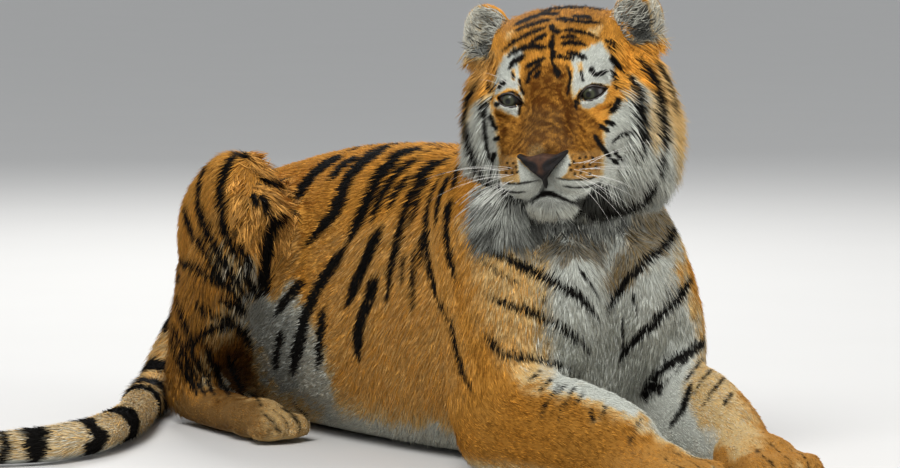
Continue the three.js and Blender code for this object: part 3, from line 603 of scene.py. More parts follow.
# Markings are drawn in the camera's frame and laid on the skin.
# strokes: half width in metres, and lines of places in the camera's frame
strokes = {
    "flankWide": {"half": 0.0088, "mirror": True, "lines": [
        [(386, 146), (367, 158), (349, 173), (343, 189), (337, 209), (319, 229), (303, 247)],
        [(418, 148), (394, 156), (377, 175), (367, 199), (357, 221), (345, 247)],
        [(379, 229), (367, 256), (355, 284), (345, 308)],
        [(375, 276), (367, 304), (357, 328), (357, 363)],
        [(345, 247), (319, 284), (303, 318), (294, 373)],
        [(339, 156), (319, 168), (305, 183), (294, 201)],
    ]},
    "flank": {"half": 0.0062, "mirror": True, "lines": [
        [(416, 158), (398, 170), (385, 187), (375, 207), (370, 225)],
        [(448, 158), (430, 166), (414, 185), (404, 209), (398, 233), (390, 266), (385, 308)],
        [(358, 157), (340, 165), (327, 182)], [(323, 308), (319, 338), (317, 371)],
        [(350, 168), (340, 190), (327, 217)],
    ]},
    "flankThin": {"half": 0.0048, "mirror": True, "lines": [
        [(407, 177), (393, 193), (387, 213)], [(427, 177), (417, 193), (412, 217), (407, 230)],
        [(440, 173), (427, 203), (424, 230), (426, 260), (437, 300), (450, 327)],
        [(447, 177), (438, 200), (435, 227)], [(450, 200), (445, 228), (447, 252), (455, 282)],
        [(434, 160), (420, 170), (411, 184)], [(456, 168), (452, 190)],
        [(398, 160), (386, 170), (378, 182)],
    ]},
    "flankFaint": {"half": 0.0038, "mirror": True, "lines": [
        [(412, 252), (411, 280), (411, 318)], [(420, 236), (419, 268)], [(402, 256), (400, 286)],
        [(450, 320), (455, 350), (462, 375), (472, 392)],
    ]},
    "thighWide": {"half": 0.0072, "lines": [
        [(237, 150), (226, 164), (219, 186), (219, 208), (223, 230), (230, 248), (238, 262), (244, 276)],
        [(303, 281), (292, 292), (282, 304), (273, 317)], [(298, 284), (290, 296)],
        [(284, 216), (274, 221), (266, 230)],
    ]},
    "gap": {"half": 0.0095, "lines": [
        [(277, 218), (271, 232), (266, 248), (264, 266)], [(267, 244), (264, 268), (264, 296)],
    ]},
    "thighMid": {"half": 0.0074, "lines": [
        [(206, 166), (199, 186), (198, 207), (204, 231), (214, 251), (226, 270), (238, 287), (250, 304)],
        [(244, 274), (252, 288), (257, 300)], [(179, 262), (197, 273), (215, 282), (228, 292)],
        [(188, 347), (197, 340), (210, 332), (224, 326), (237, 327), (246, 338), (251, 354)],
        [(177, 281), (184, 297), (200, 302), (218, 301)],
    ]},
    "thigh": {"half": 0.0063, "lines": [
        [(183, 210), (189, 228), (197, 244), (207, 260), (217, 276), (230, 292), (246, 312)],
        [(218, 301), (232, 306), (246, 316)], [(236, 240), (244, 256), (252, 272)],
        [(260, 178), (272, 184), (288, 181)], [(240, 151), (246, 158)], [(252, 196), (258, 207)],
        [(262, 196), (268, 208), (266, 218)], [(298, 335), (293, 355), (291, 378)],
        [(281, 330), (276, 352), (274, 372)],
    ]},
    "thighThin": {"half": 0.0045, "lines": [
        [(206, 396), (194, 378), (181, 352), (173, 328), (171, 308)],
        [(198, 396), (185, 376), (174, 354), (169, 336)],
        [(215, 396), (203, 376), (192, 356), (184, 338)], [(176, 300), (181, 320), (192, 342)],
        [(214, 362), (221, 384), (232, 398)], [(226, 352), (234, 374), (242, 396)],
        [(204, 344), (212, 366), (222, 390)], [(204, 312), (220, 320), (236, 318)],
        [(196, 306), (206, 318)],
    ]},
    "chestWide": {"half": 0.007, "lines": [
        [(474, 232), (480, 242), (492, 252), (510, 261), (530, 271), (548, 281), (565, 291), (578, 297),
         (590, 309), (600, 323)],
        [(684, 212), (676, 232), (662, 250), (646, 263), (632, 276), (620, 291), (611, 307), (607, 316)],
        [(693, 278), (683, 295), (668, 311), (650, 329), (635, 343), (623, 355), (618, 367)],
        [(714, 338), (696, 349), (676, 360), (660, 373), (649, 385), (639, 400)],
        [(655, 382), (650, 392), (642, 402)],
    ]},
    "chest": {"half": 0.0048, "lines": [
        [(487, 296), (500, 304), (515, 308), (530, 313), (546, 321), (560, 328), (572, 338), (583, 346),
         (591, 356)],
        [(484, 334), (491, 345), (498, 353), (511, 358), (526, 360), (541, 361), (556, 366), (570, 373),
         (580, 378)],
        [(691, 384), (687, 398), (681, 413), (669, 428)], [(662, 384), (658, 396)],
        [(446, 205), (445, 238), (450, 264), (456, 282)],
    ]},
    "chestThin": {"half": 0.0022, "lines": [
        [(702, 351), (686, 361), (671, 377), (662, 389)], [(712, 352), (697, 366), (684, 382)],
        [(718, 362), (704, 378), (692, 396)], [(726, 376), (712, 392), (702, 408)],
        [(733, 392), (722, 408)], [(293, 404), (303, 412), (308, 420)],
        [(284, 408), (296, 419), (300, 428)], [(246, 392), (258, 398), (262, 408)],
        [(622, 318), (623, 345), (619, 365)], [(632, 295), (637, 317)],
        [(560, 384), (548, 402), (541, 416)], [(575, 387), (563, 408), (558, 422)],
        [(551, 379), (539, 392)], [(541, 371), (529, 380)], [(592, 408), (594, 430)],
        [(642, 418), (628, 446)], [(481, 262), (500, 275), (521, 286)], [(537, 299), (550, 302)],
        [(606, 404), (600, 422)], [(572, 330), (574, 350)], [(566, 384), (556, 396)],
        [(584, 392), (574, 408)], [(664, 300), (676, 288)], [(578, 268), (590, 284), (600, 300)],
    ]},
    "crownWide": {"half": 0.0046, "lines": [
        [(541, 12), (554, 8), (568, 6), (584, 6), (604, 9)], [(552, 24), (549, 31), (556, 33), (562, 31)],
        [(560, 44), (567, 42), (576, 42), (587, 46)], [(566, 52), (576, 54), (588, 59)],
        [(548, 47), (536, 47), (524, 46), (514, 50), (507, 57)], [(525, 55), (515, 60), (508, 69)],
        [(554, 50), (553, 60)], [(551, 40), (550, 50)],
    ]},
    "crown": {"half": 0.0034, "lines": [
        [(551, 19), (540, 21), (527, 26), (514, 31)],
        [(546, 27), (534, 31), (520, 38), (508, 45), (502, 51)], [(548, 34), (538, 38), (528, 44)],
        [(555, 19), (566, 18), (580, 22), (601, 22)], [(572, 16), (582, 16), (593, 18)],
        [(562, 30), (575, 30), (588, 33), (598, 38)], [(560, 38), (570, 36), (580, 38)],
        [(546, 58), (535, 61), (525, 66)], [(557, 56), (566, 57), (575, 59)],
        [(540, 14), (524, 20), (513, 26)], [(553, 33), (552, 44), (553, 54), (551, 64)],
        [(552, 62), (556, 68), (561, 77)], [(541, 64), (532, 70), (527, 78)], [(536, 42), (520, 52)],
        [(560, 14), (548, 12), (536, 15)], [(608, 46), (620, 52), (632, 62)], [(604, 40), (618, 44)],
        [(540, 70), (534, 78)],
    ]},
    "face": {"half": 0.004, "lines": [
        [(589, 72), (593, 67), (592, 74), (596, 76), (602, 72), (609, 71)],
        [(614, 72), (618, 80), (617, 90)], [(604, 121), (616, 125)], [(599, 125), (604, 128), (610, 132)],
        [(594, 134), (601, 146), (612, 160)], [(489, 114), (492, 123), (497, 131)],
        [(495, 152), (490, 166)], [(497, 88), (502, 83), (506, 81)], [(500, 138), (493, 140)],
        [(489, 88), (490, 101)], [(612, 160), (620, 164)], [(500, 104), (494, 105)],
    ]},
    "faceWide": {"half": 0.0056, "lines": [
        [(610, 57), (616, 62), (621, 70)], [(619, 98), (617, 106), (610, 113)],
    ]},
    "brow": {"half": 0.0026, "lines": [
        [(519, 78), (521, 87), (524, 96)], [(567, 66), (571, 76), (569, 88), (567, 96)],
        [(527, 68), (535, 63), (544, 60)], [(581, 70), (583, 82)], [(512, 72), (514, 80)],
        [(556, 66), (553, 72), (560, 79)], [(530, 76), (526, 84)],
    ]},
    "eyeRim": {"half": 0.0025, "lines": [
        [(500, 99), (504, 94.5), (511, 91.5), (517, 93), (521, 99), (521.5, 107)],
        [(521, 104), (519.5, 110), (519, 117)],
        [(576, 103), (579, 95), (584, 89), (591, 84.5), (600, 84.5), (609, 87)],
        [(575, 98), (575, 104), (577, 110)], [(577, 101), (580, 105)], [(580, 92), (577, 99)],
    ]},
    "cheek": {"half": 0.006, "lines": [
        [(632, 74), (636, 92), (640, 112), (644, 134), (641, 150)],
        [(640, 56), (652, 80), (658, 104), (661, 130), (662, 150)],
        [(596, 203), (613, 205), (628, 202), (644, 193), (655, 172)],
    ]},
    "cheekBand": {"half": 0.0046, "lines": [
        [(478, 80), (471, 96), (468, 116), (470, 138), (476, 160), (486, 180)],
        [(486, 177), (499, 196), (515, 206), (524, 205)], [(661, 150), (658, 170)],
    ]},
    "cheekThin": {"half": 0.0034, "lines": [
        [(640, 134), (628, 133), (617, 136), (613, 143)],
        [(483, 94), (483, 112), (484, 132), (488, 156), (492, 174)], [(578, 206), (590, 211), (606, 212)],
        [(614, 150), (618, 158), (624, 162)], [(486, 90), (489, 80)],
        [(652, 56), (664, 76), (670, 98), (671, 112)], [(641, 150), (634, 156)],
    ]},
    "lips": {"half": 0.0016, "lines": [
        [(504, 183), (514, 184.5), (523, 183.5), (533, 181), (541, 181)],
        [(556, 178), (565, 180), (576, 180), (588, 179.5), (598, 176)],
        [(562, 186), (575, 188), (589, 187), (602, 183)], [(504, 191), (516, 193), (526, 192)],
        [(544, 180), (544, 190)], [(544, 190), (537, 196), (529, 201)],
        [(545, 190), (553, 192), (560, 196), (570, 202), (580, 205)],
    ]},
}
padSpots = {"half": 0.0025, "at": (
    (580, 158), (586, 157), (593, 158), (574, 162), (577, 167), (584, 167), (590, 165), (596, 167),
    (571, 170), (575, 174), (581, 173), (590, 174), (507, 163), (513, 163), (506, 173), (512, 173),
    (517, 172), (509, 168), (516, 167), (570, 165)
)}
# patches: outline, tone as black, pale and rust, and how soft the edge is
headPatches = [
    ([(440, 120), (460, 120), (470, 106), (480, 97), (487, 97), (494, 120), (500, 150), (501, 180),
      (520, 200), (545, 206), (580, 206), (600, 195), (607, 170), (603, 140), (610, 116), (628, 96),
      (634, 76), (650, 92), (654, 118), (662, 142), (684, 150), (710, 190), (700, 270), (440, 270)],
     (0, 1, 0), 3.5),
    ([(644, 88), (655, 96), (659, 140), (650, 150), (646, 120)], (0, 0.6, 0), 3),
    ([(652, 60), (700, 60), (702, 140), (690, 168), (678, 160), (668, 132), (664, 108), (656, 86)],
     (0.1, 0.4, 0.15), 6),
    ([(672, 150), (700, 140), (706, 196), (684, 210), (676, 186)], (0.2, 0.55, 0.1), 5),
    ([(440, 50), (500, 50), (486, 80), (478, 93), (472, 112), (464, 136), (440, 140)],
     (0.05, 0.12, 0.3), 5),
    ([(570, 57), (590, 46), (601, 40), (612, 58), (616, 74), (610, 85), (592, 83.5), (581, 90), (572, 99),
      (570, 84), (574, 70)], (0, 1, 0), 2),
    ([(504, 55), (515, 47), (524, 50), (519, 62), (520, 76), (518, 90), (508, 88), (494, 96), (493, 78)],
     (0, 1, 0), 2),
    ([(588, 30), (604, 24), (609, 33), (598, 37)], (0, 0.45, 0), 3),
    ([(502, 35), (513, 31), (509, 38), (500, 42)], (0, 0.45, 0), 3),
    ([(577, 62), (582, 62), (584, 71), (578, 72)], (0, 0.35, 0.2), 1.4),
    ([(511, 69), (515, 69), (515, 80), (512, 80)], (0, 0.2, 0.1), 1.2),
    ([(579, 101), (584, 99.8), (591.5, 99.2), (599, 95.5), (605, 90), (609, 88.5), (607, 97), (602, 103),
      (594, 108), (583, 109)], (0, 1, 0), 1.0),
    ([(494, 98.5), (500, 103), (506, 106), (514, 106), (518.5, 104.5), (518.5, 118), (514, 116),
      (507, 114), (499, 111), (493, 106)], (0, 1, 0), 1.0),
    ([(517, 89), (522, 92), (526, 99), (524, 107), (522, 100), (519, 93)], (0, 0.9, 0), 1.0),
    ([(526, 64), (566, 64), (570, 90), (574, 104), (588, 112), (602, 124), (603, 142), (600, 158),
      (570, 152), (552, 157), (530, 157), (516, 155), (500, 158), (497, 140), (499, 125), (492, 112),
      (498, 108), (510, 116), (520, 118), (524, 98), (522, 78)], (0.02, 0, 0.74), 3),
    ([(526, 66), (567, 66), (572, 96), (575, 114), (526, 114), (526, 92)], (0.02, 0, 0.88), 6),
    ([(524, 108), (577, 108), (573, 146), (558, 156), (532, 156), (521, 148)], (0.1, 0.03, 0.9), 8),
    ([(564, 100), (572, 104), (575, 118), (572, 134), (566, 136), (562, 120)], (0.14, 0, 1), 5),
    ([(531, 147), (542, 146), (545, 157), (528, 157)], (0.3, 0.24, 0.7), 5),
    ([(566, 152), (600, 151), (604, 168), (602, 175), (590, 180), (560, 180), (568, 168)],
     (0.13, 0.07, 0.62), 2.5),
    ([(500, 155), (518, 157), (521, 172), (519, 183), (504, 184), (499, 170)], (0.12, 0.1, 0.6), 2.5),
    ([(502, 176), (519, 176), (520, 184), (503, 185)], (0.04, 0.38, 0.35), 2),
    ([(568, 173), (602, 170), (600, 176), (588, 180), (566, 180)], (0.05, 0.22, 0.5), 2),
    ([(503, 184), (517, 183), (530, 179), (541, 177), (546, 177), (558, 179), (588, 180), (603, 176),
      (606, 186), (600, 194), (580, 198), (565, 199), (553, 193), (544, 191), (536, 197), (527, 202),
      (514, 198), (502, 192)], (0, 1, 0), 1.2),
    ([(517, 158), (524, 165), (535, 174), (543, 179), (530, 184), (520, 184), (518, 170)], (0, 1, 0), 1.3),
    ([(568, 153), (572, 162), (568, 172), (560, 179), (546, 180), (552, 170), (561, 160)], (0, 1, 0), 1.3),
    # these two, under the lip pads: black lip skin and painted shade beneath the pads
    ([(498, 194), (515, 198), (528, 202), (525, 209), (515, 212), (500, 206)], (0.95, 1, 0), 2.5),
    ([(572, 202), (585, 197), (604, 191), (620, 198), (624, 208), (606, 217), (590, 212), (578, 208)],
     (0.93, 1, 0), 3),
    ([(528, 202), (537, 195), (545, 189), (554, 192), (565, 197), (576, 203), (574, 206), (562, 201),
      (550, 197), (540, 198), (532, 205)], (1, 1, 0), 1.5),
    ([(534, 202), (545, 198), (560, 200), (573, 206), (560, 210), (540, 210)], (0.35, 1, 0), 2.5),
]
earPatches = [
    ([(456, 4), (478, 2), (492, 14), (496, 30), (488, 44), (482, 62), (466, 62), (456, 30)],
     (0.3, 0.9, 0), 2),
    ([(478, 4), (492, 9), (512, 24), (512, 40), (500, 46), (495, 36), (490, 22)], (0.05, 0, 0.25), 2),
    # dark grey at the base of the ear on the camera's left: dark skin and painted shade in its cup
    ([(472, 46), (490, 43), (488, 60), (476, 62)], (0.6, 1, 0), 2),
    ([(610, 22), (622, 2), (636, -8), (640, 6), (630, 22), (622, 38), (612, 32)], (0.05, 0, 0.2), 2),
    # dark middle of the ear on the camera's right: dark skin and painted shade in its cup
    ([(636, 2), (648, 4), (652, 30), (652, 54), (636, 44), (628, 26)], (0.9, 1, 0), 3),
    ([(646, -8), (672, -8), (672, 44), (660, 60), (653, 40), (651, 14)], (0.3, 0.85, 0), 2),
]
bodyPatches = [
    ([(322, 232), (440, 215), (452, 300), (464, 380), (440, 415), (350, 400), (306, 340)],
     (0, 0.13, 0), 24, True),
    ([(478, 172), (490, 168), (500, 180), (560, 205), (640, 200), (700, 140), (700, 205), (680, 240),
      (640, 256), (600, 264), (540, 262), (500, 250), (484, 236), (478, 214)], (0.32, 1, 0), 5, False),
    ([(462, 226), (478, 254), (498, 267), (520, 280), (533, 296), (527, 320), (529, 345), (514, 358),
      (522, 380), (545, 388), (575, 398), (600, 405), (640, 420), (664, 436), (690, 448), (706, 450),
      (716, 440), (735, 418), (733, 398), (728, 372), (706, 338), (692, 302), (680, 276), (684, 250),
      (690, 212), (640, 222), (520, 222)], (0, 1, 0), 14, False),
    ([(648, 206), (686, 206), (681, 234), (656, 262), (630, 286), (612, 300), (604, 286), (622, 252),
      (634, 226)], (0.6, 0.7, 0.1), 7, False),
    # a dark band under the ruff: dark fur and painted shadow of the ruff
    ([(478, 234), (505, 236), (540, 236), (580, 240), (612, 244), (604, 264), (575, 264), (548, 262),
      (520, 258), (500, 252), (484, 246)], (0.66, 0.8, 0), 5, False),
    ([(540, 364), (563, 372), (603, 388), (640, 405), (668, 425), (700, 446), (690, 452), (664, 437),
      (640, 420), (600, 402), (563, 385), (540, 378)], (0, 1, 0), 4, False),
    ([(284, 286), (298, 296), (310, 322), (322, 350), (332, 384), (342, 420), (400, 434), (440, 426),
      (456, 436), (456, 460), (380, 460), (290, 455), (262, 410), (262, 340), (258, 305)],
     (0.1, 0.95, 0), 9, True),
    ([(462, 242), (500, 252), (540, 262), (544, 380), (514, 374), (500, 350), (484, 330), (474, 300),
      (466, 270)], (0, 0.34, 0), 18, False),
    ([(238, 262), (252, 268), (264, 298), (276, 330), (286, 374), (264, 396), (252, 362), (250, 330),
      (245, 306), (234, 284)], (0.25, 0.95, 0), 5, False),
    ([(210, 250), (222, 248), (238, 262), (256, 290), (258, 312), (246, 308), (228, 288), (212, 268)],
     (0, 0.55, 0), 5, False),
    ([(244, 302), (262, 300), (290, 316), (302, 346), (300, 384), (272, 404), (248, 374)],
     (0.46, 1, 0.1), 9, False),
    ([(252, 380), (300, 398), (316, 408), (316, 442), (252, 444)], (0.1, 0.4, 0.25), 12, False),
    ([(700, 352), (716, 342), (744, 400), (764, 440), (735, 454), (700, 424), (684, 392)],
     (0.06, 0.52, 0.22), 8, False),
    # these three darken the back and the lower end of the near hind leg: partly its own browner fur, partly
    # painted shade towards the ground
    ([(172, 384), (228, 392), (262, 398), (262, 440), (170, 440)], (0.38, 0.1, 0.7), 12, False),
    ([(160, 268), (180, 262), (215, 300), (205, 340), (196, 372), (214, 400), (170, 400), (160, 330)],
     (0.06, 0.04, 0.45), 8, False),
    ([(196, 356), (215, 338), (240, 336), (256, 352), (264, 392), (250, 402), (214, 400)],
     (0.32, 0, 0.8), 13, False),
    ([(278, 218), (298, 226), (301, 262), (284, 284), (272, 300), (276, 250)], (0.1, 0.1, 0.1), 4, False),
]


def pixelsOf(points):
    # where points fall in the camera's frame
    rel = points - cameraPlace
    ahead = -(rel @ cameraBack)
    across, up = rel @ cameraRight / ahead, rel @ cameraUp / ahead
    middleX, middleY, focal = view["wide"] / 2, view["high"] / 2, view["focalPixels"]
    return np.stack([middleX + focal * across, middleY - focal * up], axis=1)


def finer(points, step=5.0):
    # the same line with points about a step apart, its corners rounded
    points = np.array(points, float)
    gone = np.concatenate([[0], np.cumsum(np.linalg.norm(np.diff(points, axis=0), axis=1))])
    count = max(int(gone[-1] / step), 3)
    dense = np.stack([np.interp(np.linspace(0, gone[-1], count + 1), gone, c) for c in points.T], axis=1)
    for _ in range(2):
        dense[1:-1] = (dense[:-2] + 2 * dense[1:-1] + dense[2:]) / 4
    return dense


def laid(pixels, leap=0.25):
    # where a line in the camera's frame falls on the skin; a ray that leaps meets another part
    spots, reach = [], None
    for x, y in pixels:
        ray = Vector(pixelRay(x, y))
        hit, _, _, gone = skinTree.ray_cast(Vector(cameraPlace), ray)
        if hit is None or (reach is not None and abs(gone - reach) > leap):
            hit = skinTree.find_nearest(Vector(cameraPlace) + ray * (reach or view["distance"]))[0]
        else:
            reach = gone
        spots.append(hit)
    return np.array(spots)


def snapped(points):
    return np.array([skinTree.find_nearest(point)[0] for point in points.tolist()])


def hiddenStrokes():
    # stripes of the sides that the camera doesn't see: rump, far thigh, nape and far foreleg
    rng = np.random.default_rng(8)
    drawn = []

    def draw(path, half, step=0.012, onHead=False):
        line = finer(path, step)
        drawn.append((snapped(fromHead(line) if onHead else line), half))

    for n in range(5):
        y = 0.46 + 0.052 * n
        for sign in (1, -1):
            jog = rng.uniform(-0.018, 0.018, 4)
            path = [(0.01 * sign, y, 0.60), (0.10 * sign, y + 0.02 + jog[0], 0.45),
                    (0.19 * sign, y + 0.035 + jog[1], 0.33), (0.24 * sign, y + 0.02 + jog[2], 0.20)]
            if sign > 0 or y > 0.62:
                draw(path[:3 + (sign > 0)], rng.uniform(0.0062, 0.0096))
    for n in range(7):
        y = 0.40 + 0.045 * n
        draw([(0.20, y, 0.20), (0.27, y + 0.02, 0.12), (0.31, y + 0.03, 0.05)], 0.0062)
    for n in range(4):
        for sign in (1, -1):
            y = -0.16 + 0.055 * n
            path = [(0.012 * sign, y, 0.62), (0.09 * sign, y - 0.01, 0.54), (0.15 * sign, y - 0.03, 0.44),
                    (0.19 * sign, y - 0.02, 0.34)]
            draw(path[:2 + 2 * (sign > 0)], 0.0062)
    for n in range(3):
        draw([(0.142 - 0.004 * n, 0.03, -0.12 - 0.032 * n), (0.15, -0.04, -0.12 - 0.032 * n),
              (0.14, -0.11, -0.11 - 0.026 * n)], 0.0058, onHead=True)
    for n in range(6):
        down = 0.125 - 0.035 * n
        for sign in (1, -1):
            draw([(0.012 * sign, down + 0.012, -0.25), (0.06 * sign, down, -0.24),
                  (0.115 * sign, down - 0.02, -0.19)], 0.0064, onHead=True)
    for line in toeLines():
        draw(line, toeGap["half"], 0.008)
    for n in range(5):
        for sign in (1, -1):
            path = [(0.012 * sign, 0.80 + 0.012 * n, 0.50 - 0.075 * n),
                    (0.11 * sign, 0.79, 0.44 - 0.072 * n), (0.19 * sign, 0.73, 0.37 - 0.062 * n)]
            draw(path, rng.uniform(0.006, 0.009))
    for n in range(4):
        path = [(0.215, -0.10 - 0.05 * n, 0.30 - 0.04 * n), (0.235, -0.14 - 0.05 * n, 0.22 - 0.04 * n)]
        draw(path, 0.0048, 0.01)
    return drawn


# strokes read along the camera's rays, on the face's front
flatStrokes = ("face", "faceWide", "brow", "eyeRim", "lips")


def allStrokes():
    # each as its path on the skin, its half width, and its line in the camera's frame, if it has one
    drawn = []
    for name, group in strokes.items():
        for line in group["lines"] if name not in flatStrokes else ():
            line = finer(line, 5.0 if group["half"] > 0.003 else 3.0)
            path = laid(line)
            drawn.append((path, group["half"], line))
            if group.get("mirror"):
                other = snapped(path * (-1, 1, 1))
                drawn.append((other, group["half"], None))
                if group["half"] > 0.006 and path[0, 2] > 0.36 and abs(path[0, 0]) < 0.2:
                    # on over the back, to the other side
                    over = path[0] * (0, 1, 1) + (0, 0, 0.10)
                    way = finer([path[2], path[0], over, other[0], other[2]], 0.012)
                    drawn.append((snapped(way), group["half"] * 0.85, None))
    return drawn + [(path, half, None) for path, half in hiddenStrokes()]


def tapered(half, t, end):
    # a stroke's half width along it, thinner at both ends
    return half * np.clip(np.minimum(t / 0.12, (1 - t) / end), 0.03, 1) ** 0.5


def strokeShare(points, drawn, soft=0.0016):
    # how black each point is, from 0 to 1
    share, pixels = np.zeros(len(points)), pixelsOf(points)
    for path, half, line in drawn:
        reach = half * 3 + 0.012
        near = np.flatnonzero(nearBox(points, path, reach))
        if not len(near):
            continue
        p = points[near]
        best = np.full(len(p), -1.0)
        count = len(path) - 1
        for n in range(count):
            along, gone = toLine(p, path[n], path[n + 1])
            width = half if count < 3 else tapered(half, (n + along) / count, 0.25)
            if line is not None:
                # as wide in the camera's frame as it was drawn, unless that is too wide on the skin
                _, flat = toLine(pixels[near], line[n], line[n + 1])
                gone = np.where(gone < 2.3 * half + 0.005, flat * view["metresPerPixel"], gone)
            best = np.maximum(best, width - gone)
        edge = best + min(0.0014, half * 0.35) * wobble(p, 0.010, 5)
        share[near] = np.maximum(share[near], smoothStep(-soft, soft, edge))
    return share


def flatShare(points, names, soft=0.9):
    # strokes read straight along the camera's rays
    pixels = pixelsOf(points) + 0.5 * wobble(points, 0.007, 6)[:, None]
    share = np.zeros(len(points))
    for name in names:
        half = strokes[name]["half"] / view["metresPerPixel"]
        for line in strokes[name]["lines"]:
            path = finer(line, 3.0)
            count = len(path) - 1
            reach = half + soft
            near = np.flatnonzero(nearBox(pixels, path, reach))
            p, best = pixels[near], np.full(len(near), -9.0)
            for n, (a, b) in enumerate(zip(path[:-1], path[1:])):
                along, gone = toLine(p, a, b)
                best = np.maximum(best, tapered(half, (n + along) / count, 0.2) - gone)
            share[near] = np.maximum(share[near], smoothStep(-soft, soft, best))
    return share


def spotShare(points):
    pixels, share = pixelsOf(points), np.zeros(len(points))
    half = padSpots["half"] / view["metresPerPixel"]
    for spot in padSpots["at"]:
        share = np.maximum(share, smoothStep(half + 0.6, half - 0.6, np.linalg.norm(pixels - spot, axis=1)))
    return share


def patchShare(pixels, outline, soft):
    # 1 within an outline in the camera's frame, 0 outside it
    corners = np.array(outline, float)
    share = np.zeros(len(pixels))
    near = np.flatnonzero(nearBox(pixels, corners, soft))
    p = pixels[near]
    inside, best = np.zeros(len(p), bool), np.full(len(p), 1e9)
    for a, b in zip(corners, np.roll(corners, -1, axis=0)):
        best = np.minimum(best, toLine(p, a, b)[1])
        crosses = (a[1] > p[:, 1]) != (b[1] > p[:, 1])
        across, rise = b - a
        inside ^= crosses & (p[:, 0] < a[0] + (p[:, 1] - a[1]) * across / (rise or 1e-9))
    share[near] = smoothStep(-soft, soft, np.where(inside, best, -best))
    return share


# soft eggs that pull the coat towards a tone: place, half sizes, value, both sides
headWashes = {
    "pale": [
        ((0, -0.190, -0.08), (0.30, 0.100, 0.24), 1.0, False),
        ((0.135, -0.105, -0.10), (0.075, 0.085, 0.12), 0.9, True),
        ((0.116, 0.103, -0.108), (0.030, 0.038, 0.022), 0.85, True),
        ((0.122, 0.106, -0.156), (0.014, 0.016, 0.020), 1.0, True),
    ],
    "rust": [((0, 0.10, -0.07), (0.10, 0.07, 0.09), 0.35, False)],
    "black": [
        # dark at the ear's base inside the cup: dark skin and painted shade deep in the ear
        ((0.112, 0.088, -0.112), (0.016, 0.020, 0.016), 0.75, True),
        ((0.116, 0.098, -0.152), (0.050, 0.055, 0.018), 0.95, True),
        ((0.122, 0.106, -0.156), (0.013, 0.015, 0.020), 0.0, True),
    ],
}
bodyWashes = {
    "pale": [
        ((0.0, 0.2, -0.03), (0.21, 0.75, 0.075), 0.95), ((-0.10, 0.50, 0.07), (0.14, 0.15, 0.10), 0.8),
    ],
    # browner low on the near hind shank, by the ground: its own fur and painted shade
    "rust": [((-0.21, 0.60, 0.05), (0.06, 0.08, 0.06), 0.7)],
}
# pale and rust of whole nodes
nodeTone = {
    "right_thigh": (0.03, 0.10), "right_shank": (0.06, 0.26), "left_thigh": (0.03, 0.12),
    "left_shank": (0.1, 0.2), "tail_root": (0.35, 0.15), "tail_middle": (0.58, 0.06),
    "tail_tip": (0.64, 0.06), "right_hind_foot": (0.38, 0.45), "left_hind_foot": (0.38, 0.35),
    "right_forearm": (0, 0.50), "left_forearm": (0, 0.46), "right_forepaw": (0.06, 0.40),
    "left_forepaw": (0.06, 0.40), "right_upper_arm": (0, 0.20), "left_upper_arm": (0, 0.20),
}
# the tail's middle line, and where its black bands start and end along it
tail = {
    "path": (
        (0.004, 0.762, 0.232), (-0.024, 0.848, 0.160), (-0.070, 0.868, 0.084), (-0.144, 0.798, 0.036),
        (-0.244, 0.684, 0.032), (-0.342, 0.546, 0.031), (-0.424, 0.452, 0.031), (-0.520, 0.366, 0.031),
        (-0.632, 0.318, 0.030), (-0.736, 0.350, 0.028), (-0.790, 0.402, 0.023),
    ),
    "bands": (
        (0.03, 0.075), (0.14, 0.185), (0.25, 0.305), (0.365, 0.435), (0.460, 0.525), (0.738, 0.815),
        (0.896, 0.944), (1.014, 1.044), (1.068, 1.084), (1.106, 1.130), (1.158, 1.30),
    ),
    "soft": 0.004,
}


def washed(points, value, washes):
    for at, half, tone, *rest in washes:
        for sign in (1, -1) if rest and rest[0] else (1,):
            k = np.linalg.norm((points - np.array(at) * (sign, 1, 1)) / np.array(half), axis=1)
            value = value + (tone - value) * smoothStep(1.25, 0.75, k)
    return value


def alongTail(p):
    # how far along the tail's middle line each point is
    path = finer(tail["path"], 0.03)
    nearest, gone, start = np.full(len(p), 9.0), np.zeros(len(p)), 0.0
    for a, b in zip(path[:-1], path[1:]):
        long = np.linalg.norm(b - a)
        t, away = toLine(p, a, b)
        closer = away < nearest
        nearest[closer], gone[closer] = away[closer], start + long * t[closer]
        start += long
    return gone


